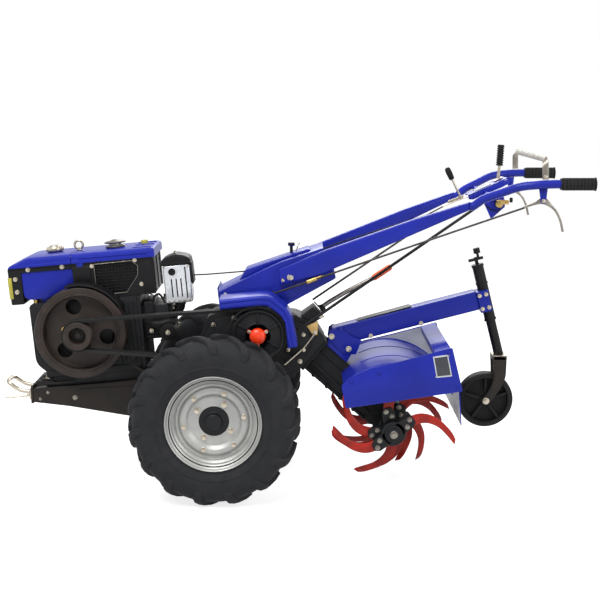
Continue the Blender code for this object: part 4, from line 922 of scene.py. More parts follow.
def buildBlock():
    newPiece("engineBlockCasting", bevelled(cadCopy("engine_block"), 0.004, 3), "sandCastBlack", replaced=["engine_block"])
    # Left side: the joint of the main bearing cover, cylinder ribs and core plugs
    cover = latheMesh([(0, -0.0060), (0.112, -0.0060), (0.116, -0.0040), (0.118, 0.0), (0, 0)], 72, False)
    shroud = []
    for r0, r1 in ((0.1806, 0.1866),):
        arc = [(math.radians(28 + 74 * i / 24)) for i in range(25)]
        ring = [(r1 * math.cos(a), r1 * math.sin(a)) for a in arc] + [(r0 * math.cos(a), r0 * math.sin(a)) for a in arc[::-1]]
        shroud.append(bevelled(outlineMesh(ring, -0.2030, -0.1180), 0.0010, 2, 50))
    newPiece("flywheelShroud", onEngine(together(shroud)), "satinBlackPaint")
    ribs = [bevelled(boxMesh((0.1300 + i * 0.0165, -0.1215, -0.150 + 0.012 * i), (0.1355 + i * 0.0165, -0.1145, 0.108 - 0.004 * i)), 0.0022, 3)
            for i in range(6)]
    flange = bevelled(boxMesh((0.2130, -0.1190, -0.1700), (0.2280, 0.1440, 0.1120)), 0.004, 3)
    sump = bevelled(boxMesh((-0.1650, -0.1190, -0.1780), (0.2050, 0.1440, -0.1500)), 0.004, 3)
    plugs = [latheMesh([(0, -0.0040), (0.012, -0.0040), (0.0150, -0.0020), (0.0155, 0.0020), (0, 0.0020)], 32, False)
             for _ in range(2)]
    plugs = [moved(p, Matrix.Translation((u, -0.1155, w))) for p, (u, w) in zip(plugs, ((0.180, -0.120), (-0.150, -0.060)))]
    newPiece("blockRibs", onEngine(together([moved(cover, Matrix.Translation((0, -0.1150, 0))), *ribs, flange, sump, *plugs])), "sandCastBlack")
    # Right side: the timing gear case
    case = bevelled(outlineMesh(arched([(-0.185, -0.120), (-0.140, -0.165), (0.080, -0.165), (0.150, -0.090), (0.150, 0.020), (0.100, 0.095),
                                        (-0.120, 0.100), (-0.188, 0.060), (-0.185, -0.118)], 0.05, 6)[1:-1], 0.1400, 0.1720), 0.006, 3, 50)
    rim = bevelled(outlineMesh(arched([(-0.192, -0.126), (-0.145, -0.173), (0.084, -0.173), (0.158, -0.094), (0.158, 0.024), (0.104, 0.103),
                                       (-0.124, 0.108), (-0.196, 0.064), (-0.192, -0.124)], 0.05, 6)[1:-1], 0.1395, 0.1480), 0.002, 2, 50)
    boss = [bevelled(drumMesh((-0.010, 0.1770, 0.000), 0.036, 0.012, "Y", 48), 0.003, 3),
            bevelled(drumMesh((0.085, 0.1750, -0.060), 0.028, 0.010, "Y", 40), 0.003, 3),
            bevelled(drumMesh((-0.105, 0.1740, 0.045), 0.024, 0.008, "Y", 40), 0.003, 3)]
    newPiece("timingCase", onEngine(together([case, rim, *boss])), "sandCastBlack")
    around = [(-0.186, -0.100), (-0.165, -0.150), (-0.100, -0.169), (-0.020, -0.169), (0.060, -0.169), (0.125, -0.128), (0.154, -0.060),
              (0.154, 0.000), (0.126, 0.066), (0.060, 0.101), (-0.020, 0.103), (-0.100, 0.104), (-0.160, 0.084), (-0.192, 0.030), (-0.190, -0.040)]
    bolts("timingCaseBolts", [(u, 0.1482, w) for u, w in around], 0.010, facing=towardsRight, frame_=engineFrame)
    starter = latheMesh([(0, -0.030), (0.011, -0.030), (0.0135, -0.028), (0.0135, 0.0), (0, 0)], 32, False)
    newPiece("crankDog", onEngine(moved(starter, Matrix.Translation((-0.010, 0.1890, 0.0)) @ towardsRight)), "brushedSteelBar")
    pump = together([bevelled(boxMesh((-0.165, 0.1720, -0.035), (-0.115, 0.2050, 0.020)), 0.004, 3),
                     bevelled(drumMesh((-0.140, 0.1890, 0.042), 0.013, 0.024, "Z", 32), 0.002),
                     drumMesh((-0.140, 0.1890, 0.072), 0.008, 0.008, "Z", 6)])
    newPiece("injectionPump", onEngine(pump), "aluminiumPaint")
    pipe = wireMesh([(-0.140, 0.1890, 0.080), (-0.140, 0.1890, 0.105), (-0.060, 0.1800, 0.108), (0.190, 0.1640, 0.095), (0.270, 0.140, 0.060),
                     (0.300, 0.110, 0.020)], 0.0032, 3)
    newPiece("injectorPipe", onEngine(pipe), "brightZinc")
    dip = together([wireMesh([(0.120, 0.150, -0.170), (0.120, 0.176, -0.110), (0.120, 0.178, -0.070)], 0.0060, 3),
                    moved(torusMesh((0, 0, 0), 0.010, 0.0022, 28), Matrix.Translation((0.120, 0.178, -0.056)))])
    newPiece("dipstick", onEngine(dip), "yellowZinc")
    drain = hexBolt(0.018, 0.010, 0.002)
    newPiece("drainPlug", onEngine(moved(drain, Matrix.Translation((0.030, -0.1155, -0.160)))), "brightZinc")


def buildHead():
    newPiece("cylinderHeadCasting", bevelled(cadCopy("cylinder_head"), 0.004, 3), "sandCastBlack", replaced=["cylinder_head"])
    box = bevelled(boxMesh((0.2340, -0.0995, 0.0240), (0.2760, 0.0700, 0.0840)), 0.006, 3)
    seam = bevelled(boxMesh((0.2325, -0.1015, 0.0420), (0.2775, 0.0720, 0.0470)), 0.0015, 2)
    end = bevelled(boxMesh((0.3270, -0.0780, -0.0580), (0.3420, 0.0880, 0.0600)), 0.005, 3)
    newPiece("rockerCover", onEngine(together([box, seam])), "satinBlackPaint")
    newPiece("headEnd", onEngine(end), "sandCastBlack")
    fins = [bevelled(boxMesh((0.2340, -0.0960, -0.0560 + 0.0135 * i), (0.3180, -0.0890, -0.0515 + 0.0135 * i)), 0.0015, 2) for i in range(5)]
    newPiece("headRibs", onEngine(together(fins)), "sandCastBlack")
    bolts("headBolts", [(0.2565, -0.0985, -0.0313), (0.3060, -0.0985, -0.0500)], 0.0115, frame_=engineFrame, washer=0.003)
    bolts("headEndBolts", [(0.3425, y, w) for y in (-0.062, 0.0, 0.070) for w in (-0.042, 0.044)], 0.011, facing=towardsRear, frame_=engineFrame)
    injector = together([bevelled(drumMesh((0.300, 0.090, 0.040), 0.012, 0.030, "Z", 24), 0.002), drumMesh((0.300, 0.090, 0.074), 0.008, 0.008, "Z", 6)])
    newPiece("injector", onEngine(injector), "brightZinc")
    # Intake: a moulded elbow from the head to the air cleaner
    elbow = wireMesh([(0.262, -0.088, -0.004), (0.262, -0.126, 0.000), (0.300, -0.136, -0.002), (0.330, -0.134, 0.006), (0.352, -0.124, -0.004)],
                     0.0125, 5)
    newPiece("intakeElbow", onEngine(elbow), "mouldedPolyamide")
    hose = wireMesh([(0.2705, -0.096, 0.068), (0.283, -0.102, 0.104), (0.300, -0.100, 0.112), (0.312, -0.092, 0.092), (0.318, -0.088, 0.070)],
                    0.0042, 4)
    newPiece("breatherHose", onEngine(hose), "mouldedGripRubber")
    x, z = axle.x - 0.188, 0.608
    can = latheMesh([(0, -0.0405), (0.0260, -0.0405), (0.0310, -0.0385), (0.0325, -0.0350), (0.0325, -0.0200), (0.0340, -0.0190),
                     (0.0340, -0.0150), (0.0320, -0.0140), (0.0320, 0.0180), (0.0335, 0.0190), (0.0335, 0.0230), (0.0320, 0.0240),
                     (0.0320, 0.0400), (0, 0.0400)], 64, False)
    vents = ringMesh(bevelled(boxMesh((-0.0028, -0.0120, 0.0312), (0.0028, 0.0160, 0.0330)), 0.0006, 1), 24, "mouldedPolyamide")
    newPiece("airCleanerCan", moved(together([can, vents]), Matrix.Translation((x, -0.1235, z))), "mouldedPolyamide", replaced=["air_cleaner"])
    nut = moved(hexBolt(0.012, 0.006, 0.002), Matrix.Translation((x, -0.1642, z)))
    newPiece("airCleanerNut", nut, "brightZinc")
    # Injector return and governor bits seen between the flywheel and the tank
    tap = together([bevelled(drumMesh((-0.176, -0.090, 0.108), 0.010, 0.022, "Z", 24), 0.002), drumMesh((-0.176, -0.090, 0.083), 0.006, 0.010, "Z", 6),
                    bevelled(boxMesh((-0.206, -0.097, 0.094), (-0.180, -0.083, 0.100)), 0.002)])
    newPiece("fuelTap", onEngine(tap), "yellowZinc")
    bowl = bevelled(drumMesh((-0.150, -0.095, 0.098), 0.014, 0.018, "Z", 32), 0.004, 3)
    newPiece("fuelFilter", onEngine(bowl), "mouldedPolyamide")


muffler = dict(u0=0.3235, u1=0.4275, y0=-0.1000, y1=-0.0100, w0=0.0675, w1=0.2160)


def buildMuffler():
    m = muffler
    shell = bevelled(boxMesh((m["u0"], m["y0"], m["w0"]), (m["u1"], m["y1"], m["w1"])), 0.007, 4)
    cutters = [bevelled(boxMesh((u - 0.0026, m["y0"] - 0.01, 0.084 if long else 0.0900), (u + 0.0026, m["y0"] + 0.0045, 0.206 if long else 0.163)), 0.002, 2)
               for u, long in ((0.3530, False), (0.3715, False), (0.3895, False), (0.4090, True))]
    cutters += [bevelled(boxMesh((m["u1"] - 0.0045, y - 0.0026, 0.090), (m["u1"] + 0.01, y + 0.0026, 0.200)), 0.002, 2) for y in (-0.080, -0.060, -0.040, -0.022)]
    cutters.append(drumMesh((0.3585, m["y0"], 0.1900), 0.0145, 0.0200, "Y", 40))
    shell = carved(shell, cutters)
    newPiece("silencerShell", onEngine(shell), "aluminisedSteel", replaced=["muffler"], smooth=30)
    inner = bevelled(boxMesh((m["u0"] + 0.004, m["y0"] + 0.0035, m["w0"] + 0.01), (m["u1"] - 0.0035, m["y1"] - 0.01, m["w1"] - 0.004)), 0.003)
    newPiece("silencerCore", onEngine(inner), "satinBlackPaint")
    stub = latheMesh([(0.0143, -0.0050), (0.0172, -0.0050), (0.0178, -0.0030), (0.0178, 0.0030), (0.0143, 0.0030)], 40)
    newPiece("silencerOutlet", onEngine(moved(stub, Matrix.Translation((0.3585, m["y0"], 0.1900)))), "aluminisedSteel")
    dots = [bevelled(drumMesh((0.336 + 0.0195 * i, m["y0"] - 0.0004, 0.0775), 0.0045, 0.0016, "Y", 16), 0.0012, 2) for i in range(5)]
    dots += [bevelled(drumMesh((u, m["y0"] - 0.0004, w), 0.0040, 0.0016, "Y", 16), 0.0012, 2) for u, w in ((0.3320, 0.2080), (0.4200, 0.2080))]
    newPiece("silencerRivets", onEngine(together(dots)), "brightZinc")
    lidLine = arched([(0.3195, 0.2150), (0.3215, 0.2380), (0.3400, 0.2480), (0.3740, 0.2580), (0.4130, 0.2500), (0.4320, 0.2380), (0.4335, 0.2150)], 0.01, 4)
    lid = bevelled(outlineMesh(lidLine, m["y0"] - 0.0040, m["y1"] + 0.0060), 0.0035, 3, 40)
    folds = [wireMesh([(0.322, m["y0"] - 0.0035, 0.2350), (0.345, m["y0"] - 0.0045, 0.2390), (0.385, m["y0"] - 0.0045, 0.2400), (0.430, m["y0"] - 0.0035, 0.2340)], 0.0016, 2),
             wireMesh([(0.336, m["y0"] - 0.0035, 0.2440), (0.374, m["y0"] - 0.0045, 0.2480), (0.412, m["y0"] - 0.0035, 0.2450)], 0.0014, 2)]
    wing = bevelled(outlineMesh([(0.4250, 0.2200), (0.4360, 0.2200), (0.4380, 0.1400), (0.4330, 0.1350), (0.4300, 0.1400)], m["y0"] + 0.004, m["y1"] - 0.004), 0.0015)
    newPiece("silencerHeatShield", onEngine(together([lid, *folds, wing])), "satinBlackPaint")
    stud = together([drumMesh((0.3740, -0.055, 0.2600), 0.0040, 0.0060, "Z", 16), drumMesh((0.3740, -0.055, 0.2600), 0.0070, 0.0025, "Z", 6)])
    newPiece("shieldStud", onEngine(stud), "brightZinc")
    pipe = wireMesh([(0.374, -0.055, 0.072), (0.372, -0.055, 0.046), (0.345, -0.040, 0.020), (0.322, -0.030, 0.012)], 0.0200, 6)
    collar = bevelled(boxMesh((0.3540, -0.0780, 0.0560), (0.3960, -0.0320, 0.0640)), 0.003, 2)
    newPiece("exhaustPipe", onEngine(together([pipe, collar])), "sandCastBlack")


buildBlock()
buildHead()
buildMuffler()
print("engine made")


# Frame, gearbox and drive case

def at(x, y, z):
    # A point given from the wheel axle's middle along, and from the ground up
    return axle.x + x, y, z


def plateAt(points, low, high, width=0.001, segments=2):
    return bevelled(outlineMesh([(axle.x + x, z) for x, z in points], low, high), width, segments)


def buildFrame():
    for side, word in ((-1, "left"), (1, "right")):
        newPiece(word + "RailPressing", bevelled(cadCopy("frame_rail_" + word), 0.0022, 3), "primedPlate",
                 replaced=["frame_rail_" + word])
        y = side * 0.1302
        low, high = sorted((y, y + side * 0.0022))
        lowIn, highIn = sorted((side * 0.126, side * 0.1335))
        swage = plateAt([(-0.540, 0.3800), (-0.300, 0.3925), (-0.140, 0.3960), (-0.140, 0.3885), (-0.300, 0.3845), (-0.538, 0.3725)],
                        low, high, 0.001)
        strap = plateAt([(-0.700, 0.4020), (-0.560, 0.4120), (-0.560, 0.4060), (-0.700, 0.3960)], lowIn, highIn, 0.001)
        gusset = plateAt([(-0.330, 0.4700), (-0.318, 0.4730), (-0.235, 0.4240), (-0.240, 0.4150)], lowIn, highIn, 0.0015)
        newPiece(word + "RailDetails", together([swage, strap, gusset]), "primedPlate")
        facing = towardsRight if side > 0 else None
        bolts(word + "RailBolts", [at(-0.555, y, 0.346), at(-0.240, y, 0.330)], 0.013, "brushedSteelBar", facing=facing, height=0.005)
        bolts(word + "RailScrews", [at(-0.660, y, 0.366), at(-0.690, y, 0.340)], 0.008, "brushedSteelBar", facing=facing)
        studs = []
        for x, z in ((-0.660, 0.4045), (-0.313, 0.4470)):
            studs.append(drumMesh(at(x, side * 0.1090, z + 0.022), 0.005, 0.026, "Z", 20))
            studs.append(moved(hexBolt(0.016, 0.009, 0.002), Matrix.Translation(at(x, side * 0.1090, z + 0.014)) @ upwards))
        newPiece(word + "EngineStuds", together(studs), "brightZinc")
        clamps = [bevelled(boxMesh(at(-0.705, side * 0.109 - 0.017, 0.3950), at(-0.630, side * 0.109 + 0.017, 0.4100)), 0.004, 3),
                  bevelled(boxMesh(at(-0.685, side * 0.109 - 0.013, 0.4100), at(-0.640, side * 0.109 + 0.013, 0.4180)), 0.003, 3)]
        newPiece(word + "EngineClamps", together(clamps), "sandCastBlack")
    newPiece("frontCrossPlate", bevelled(cadCopy("frame_front_plate"), 0.002, 2), "primedPlate", replaced=["frame_front_plate"])
    leg = 0.055
    half = [at(-0.742, leg, 0.350), at(-0.790, leg, 0.3585), at(-0.826, leg, 0.3860), at(-0.8345, leg - 0.020, 0.3910)]
    line = [(x, -y, z) for x, y, z in half] + half[::-1]
    loop = wireMesh(line, 0.0083, 5)
    foot = bevelled(boxMesh(at(-0.7445, -0.078, 0.3245), at(-0.7368, 0.078, 0.3675)), 0.002, 2)
    pin = wireMesh([at(-0.742, -0.050, 0.334), at(-0.846, -0.050, 0.326)], 0.0035, 4)
    newPiece("towLoopForging", together([loop, foot, pin]), "brightZinc", replaced=["tow_loop"])
    bolts("towBolts", [at(-0.7448, y, 0.346) for y in (-0.069, 0.069)], 0.013, facing=towardsFront)


def buildGearbox():
    newPiece("gearboxCasting", bevelled(cadCopy("gearbox_case"), 0.005, 3), "sandCastBlack", replaced=["gearbox_case"], smooth=30)
    pieces, heads = [], []
    for side in (-1, 1):
        turn = Matrix.Identity(4) if side < 0 else towardsRight
        joint = [(-0.060, 0.300), (0.010, 0.262), (0.090, 0.280), (0.240, 0.420), (0.330, 0.470), (0.352, 0.560), (0.350, 0.622),
                 (0.290, 0.640), (0.062, 0.668), (-0.028, 0.640), (-0.084, 0.500)]
        low, high = sorted((side * 0.0845, side * 0.0890))
        pieces.append(bevelled(outlineMesh([(axle.x + p[0], p[1]) for p in arched(joint + joint[:1], 0.05, 5)[:-1]], low, high), 0.0018, 2, 50))
        for x, z in ((-0.050, 0.318), (0.012, 0.282), (0.082, 0.298), (0.160, 0.372), (0.232, 0.436), (0.316, 0.480),
                     (0.060, 0.652), (-0.020, 0.624), (-0.070, 0.500), (-0.062, 0.400), (0.170, 0.640)):
            heads.append((side, at(x, side * 0.0890, z)))
        ring = latheMesh([(0, -0.0065), (0.050, -0.0065), (0.0535, -0.0050), (0.0550, 0.0020), (0, 0.0020)], 56)
        pieces.append(moved(ring, Matrix.Translation(at(0.300, side * 0.0910, 0.557)) @ turn))
        axleFlange = latheMesh([(0.0400, -0.010), (0.0650, -0.010), (0.0680, -0.008), (0.0690, 0.0), (0.0400, 0.0)], 56)
        pieces.append(moved(axleFlange, Matrix.Translation(at(0, side * 0.0850, 0.320)) @ turn))
        sleeve = latheMesh([(0.0405, -0.060), (0.0500, -0.060), (0.0520, -0.058), (0.0540, -0.010), (0.0405, -0.010)], 48)
        pieces.append(moved(sleeve, Matrix.Translation(at(0, side * 0.0850, 0.320)) @ turn))
        seal = latheMesh([(0.0405, -0.020), (0.0455, -0.020), (0.0470, -0.0185), (0.0475, 0.0), (0.0405, 0.0)], 48)
        pieces.append(moved(seal, Matrix.Translation(at(0, side * 0.1880, 0.320)) @ turn))
    newPiece("gearboxFlanges", together(pieces), "sandCastBlack", smooth=35)
    for side, word in ((-1, "left"), (1, "right")):
        turn = Matrix.Identity(4) if side < 0 else towardsRight
        bolts(word + "GearboxBolts", [spot for s, spot in heads if s == side], 0.012, facing=turn)
        ringBolts = [moved(hexBolt(0.011, 0.006, 0.0015), Matrix.Translation((0.055 * math.cos(a), -0.010, 0.055 * math.sin(a))))
                     for a in (math.radians(i * 60 + 20) for i in range(6))]
        newPiece(word + "AxleFlangeBolts", moved(together(ringBolts), Matrix.Translation(at(0, side * 0.0850, 0.320)) @ turn), "brightZinc")
        cover = [moved(hexBolt(0.010, 0.005, 0.0015), Matrix.Translation((0.042 * math.cos(a), -0.0065, 0.042 * math.sin(a))))
                 for a in (math.radians(i * 90 + 45) for i in range(4))]
        newPiece(word + "BossBolts", moved(together(cover), Matrix.Translation(at(0.300, side * 0.0910, 0.557)) @ turn), "brightZinc")
    # Selector housing on top, with its cover and bolts
    cover = plateAt([(0.3380, 0.6135), (0.4050, 0.6475), (0.3990, 0.6590), (0.3320, 0.6250)], -0.063, 0.063, 0.002)
    ribs = [plateAt([(0.3700, 0.6900), (0.4080, 0.6480), (0.4110, 0.6500), (0.3740, 0.6930)], y - 0.004, y + 0.004, 0.001) for y in (-0.058, 0.058)]
    newPiece("selectorCover", together([cover, *ribs]), "sandCastBlack")
    bolts("selectorBolts", [at(x, -0.0632, z) for x, z in ((0.3400, 0.6260), (0.3960, 0.6540))], 0.010)
    tan = plateAt([(0.3420, 0.6200), (0.3860, 0.6400), (0.3830, 0.5850), (0.3660, 0.5830)], -0.0930, -0.0870, 0.001)
    newPiece("crankPlate", tan, "tanPlatedSteel")
    newPiece("reverseRod", wireMesh([at(0.3740, -0.0960, 0.5920), at(0.3300, -0.1000, 0.5350), at(0.2550, -0.1050, 0.4700)], 0.0038, 4), "brightZinc")
    bolts("crankPlateBolt", [at(0.3740, -0.0935, 0.5960)], 0.010)
    newPiece("topRod", wireMesh([at(0.757, 0.055, 0.968), at(0.366, 0.055, 0.700)], 0.0042, 4), "oiledSteelRod")
    plug = together([moved(hexBolt(0.022, 0.012, 0.003), Matrix.Translation(at(0.100, 0.0, 0.688)) @ upwards)])
    newPiece("gearOilPlug", plug, "brightZinc")
    # Drive case of the tiller, with its long stiffening ridges
    newPiece("driveCaseCasting", bevelled(cadCopy("tiller_case"), 0.005, 3, 40), "sandCastBlack", replaced=["tiller_case"], smooth=30)
    start, end = Vector((0.365, 0.503)), Vector((0.671, 0.232))
    along = (end - start).normalized()
    across = Vector((-along.y, along.x))
    ridges, caseBolts = [], []
    for offset in (-0.030, 0.030):
        for side in (-1, 1):
            a, b = start + along * 0.020 + across * offset, start + along * 0.330 + across * offset
            line = [a - across * 0.006, b - across * 0.006, b + across * 0.006, a + across * 0.006]
            low, high = sorted((side * 0.0370, side * 0.0440))
            ridges.append(plateAt([tuple(p) for p in line], low, high, 0.0025, 3))
    flange = [start + along * 0.001 - across * 0.074, start + along * 0.016 - across * 0.074, start + along * 0.016 + across * 0.074, start + along * 0.001 + across * 0.074]
    ridges.append(plateAt([tuple(p) for p in flange], -0.062, 0.062, 0.003, 3))
    lower = [start + along * 0.016 - across * 0.0665, start + along * 0.330 - across * 0.0665, start + along * 0.330 - across * 0.0560, start + along * 0.016 - across * 0.0560]
    ridges.append(plateAt([tuple(p) for p in lower], -0.046, 0.046, 0.002, 3))
    newPiece("driveCaseRidges", together(ridges), "sandCastBlack")
    for step in (0.060, 0.130, 0.200, 0.270):
        spot = start + along * step - across * 0.0610
        caseBolts.append(at(spot.x, -0.0462, spot.y))
    bolts("driveCaseBolts", caseBolts, 0.012, "satinBlackPaint")
    bolts("driveCaseBoltsRight", [(x, -y, z) for x, y, z in caseBolts], 0.012, "satinBlackPaint", facing=towardsRight)


buildFrame()
buildGearbox()
print("frame and gearbox made")


# Handles and controls

def flatBar(points, halfWidth, thick, closedWidth=None):
    # A flat bar bent along points, its broad side square to the bend and its width along X
    spots = rounded(points, 0.030, 8)
    rings = []
    for i, spot in enumerate(spots):
        ahead = (spots[min(i + 1, len(spots) - 1)] - spots[max(i - 1, 0)]).normalized()
        wide = Vector((1, 0, 0)).lerp(Vector((0.40, 0, 0.92)), abs(ahead.y))
        wide = (wide - ahead * wide.dot(ahead)).normalized()
        flat = ahead.cross(wide).normalized() * thick / 2
        w = wide * halfWidth
        rings.append([spot - w - flat, spot + w - flat, spot + w + flat, spot - w + flat])
    return bevelled(ringSection([[tuple(p) for p in ring] for ring in rings]), thick * 0.25, 2, 50)


def taperedPlate(points, widths, low, high):
    # A flat lever cut from plate: its middle line and half width at each station, in X and Z
    spots = [Vector((x, z)) for x, z in points]
    left, right = [], []
    for i, spot in enumerate(spots):
        ahead = (spots[min(i + 1, len(spots) - 1)] - spots[max(i - 1, 0)]).normalized()
        side = Vector((-ahead.y, ahead.x)) * widths[i]
        left.append(tuple(spot + side))
        right.append(tuple(spot - side))
    return plateAt(left + right[::-1], low, high, 0.0008, 2)


def smoothLine(points, steps=6):
    # Points of a curve that passes through the given ones
    spots = [Vector(p) for p in points]
    spots = [2 * spots[0] - spots[1], *spots, 2 * spots[-1] - spots[-2]]
    line = []
    for a, b, c, d in zip(spots, spots[1:], spots[2:], spots[3:]):
        for step in range(steps):
            t = step / steps
            line.append(0.5 * (2 * b + (c - a) * t + (2 * a - 5 * b + 4 * c - d) * t * t + (3 * b - a - 3 * c + d) * t ** 3))
    return line + [spots[-2]]


def buildHandles():
    newPiece("handleBracketPressing", bevelled(cadCopy("handle_bracket"), 0.0035, 3), "bakedBlueEnamel", replaced=["handle_bracket"])
    lid = bevelled(cadCopy("handle_cover"), 0.002, 2)
    newPiece("handleCoverPressing", lid, "bakedBlueEnamel", replaced=["handle_cover"])
    knob = latheMesh([(0, 0.0), (0.0060, 0.0), (0.0060, 0.0230), (0.0120, 0.0260), (0.0135, 0.0290), (0.0135, 0.0350), (0.0120, 0.0375), (0, 0.0380)], 32, False)
    newPiece("coverKnob", moved(knob, Matrix.Translation(at(0.282, 0, 0.8970)) @ Matrix.Rotation(math.pi / 2, 4, "X")), "mouldedPolyamide")
    clip = wireMesh([at(0.3000, -0.010, 0.9000), at(0.3080, -0.010, 0.9260), at(0.3150, 0.004, 0.9320)], 0.0022, 3)
    newPiece("coverClip", clip, "brightZinc")
    for side, word in ((-1, "left"), (1, "right")):
        facing = None if side < 0 else towardsRight
        newPiece(word + "ArmPressing", bevelled(cadCopy("handle_arm_" + word), 0.0045, 3), "bakedBlueEnamel", replaced=["handle_arm_" + word])
        fold = plateAt([(0.2360, 0.8420), (0.2500, 0.8480), (0.2900, 0.7760), (0.3000, 0.7420), (0.2600, 0.7300), (0.2000, 0.7500)],
                       *sorted((side * 0.1095, side * 0.1130)), 0.001)
        newPiece(word + "BracketFold", fold, "bakedBlueEnamel")
        bolts(word + "ArmBolts", [at(0.281, side * 0.1440, 0.818)], 0.019, facing=(facing or Matrix.Identity(4)), height=0.008, washer=0.003)
        bolts(word + "ArmRearBolts", [at(0.330, side * 0.1485, 0.842), at(0.252, side * 0.1415, 0.806)], 0.010, facing=(facing or Matrix.Identity(4)))
        tubeY = side * 0.250
        line = [at(0.9370, tubeY, 1.0975), at(0.955, tubeY, 1.0985), at(0.988, side * 0.265, 1.124), at(1.046, side * 0.300, 1.149),
                at(1.105, side * 0.338, 1.173), at(1.157, side * 0.355, 1.181), at(1.220, side * 0.360, 1.185), at(1.262, side * 0.360, 1.185)]
        tube = wireMesh([tuple(p) for p in smoothLine(line, 5)], 0.0160, 6, False)
        newPiece(word + "HandleTube", tube, "bakedBlueEnamel", replaced=["handle_tube_" + word])
        ridges = [(0, -0.0640), (0.0190, -0.0640), (0.0245, -0.0625), (0.0245, -0.0590), (0.0205, -0.0575)]
        for i in range(9):
            a = -0.0560 + i * 0.0128
            ridges += [(0.0195, a), (0.0218, a + 0.0012), (0.0218, a + 0.0085), (0.0195, a + 0.0098)]
        ridges += [(0.0200, 0.0610), (0.0212, 0.0620), (0.0205, 0.0640), (0, 0.0640)]
        grip = latheMesh(ridges, 40, False)
        studs = ringMesh(bevelled(boxMesh((-0.0017, -0.0560, 0.0205), (0.0017, 0.0580, 0.0226)), 0.0006, 1), 16, "mouldedGripRubber")
        turn = Matrix.Translation(at(1.312, side * 0.360, 1.185)) @ Matrix.Rotation(-math.pi / 2, 4, "Z") @ Matrix.Rotation(math.pi, 4, "Z")
        newPiece(word + "RibbedGrip", moved(together([grip, studs]), turn), "mouldedGripRubber", replaced=["grip_" + word])
        # Steering clutch lever: forged, thin at the tip
        y = side * 0.340
        spots = smoothLine([(1.122, 1.100, 0), (1.160, 1.1135, 0), (1.191, 1.124, 0), (1.214, 1.110, 0), (1.239, 1.086, 0), (1.256, 1.052, 0), (1.266, 1.012, 0)], 5)
        widths = [0.0040 + 0.0085 * math.exp(-((p.x - 1.193) / 0.022) ** 2) for p in spots]
        lever = taperedPlate([(p.x, p.y) for p in spots], widths, y - 0.0052, y + 0.0052)
        newPiece(word + "SteeringLever", lever, "brushedSteelBar", replaced=["steering_lever_" + word])
        ear = plateAt([(1.1740, 1.1670), (1.2050, 1.1690), (1.2010, 1.1240), (1.1960, 1.1140), (1.1860, 1.1140), (1.1810, 1.1240)],
                      *sorted((side * 0.3460, side * 0.3520)), 0.0012)
        newPiece(word + "LeverEar", ear, "bakedBlueEnamel")
        bolts(word + "LeverPivot", [at(1.191, side * 0.3522, 1.124)], 0.010, facing=(facing or Matrix.Identity(4)))
        rod = wireMesh([at(1.128, side * 0.3300, 1.0985), at(0.900, side * 0.2731, 1.0120), at(0.209, side * 0.1245, 0.7505)], 0.0038, 4, False)
        eye = bevelled(drumMesh(at(0.209, side * 0.1172, 0.750), 0.0115, 0.0068, "Y", 24), 0.001)
        newPiece(word + "SteeringRod", together([rod, eye]), "oiledSteelRod", replaced=["steering_rod_" + word])
        clevis = [drumMesh((0, 0, 0), 0.0085, 0.020, "X", 20), drumMesh((0.034, 0, 0), 0.0065, 0.016, "X", 6)]
        place = Matrix.Translation(at(0.360, side * 0.1570, 0.8080)) @ Matrix.Rotation(math.radians(-20.5), 4, "Y")
        newPiece(word + "RodTurnbuckle", moved(bevelled(together(clevis), 0.001, 2), place), "yellowZinc")


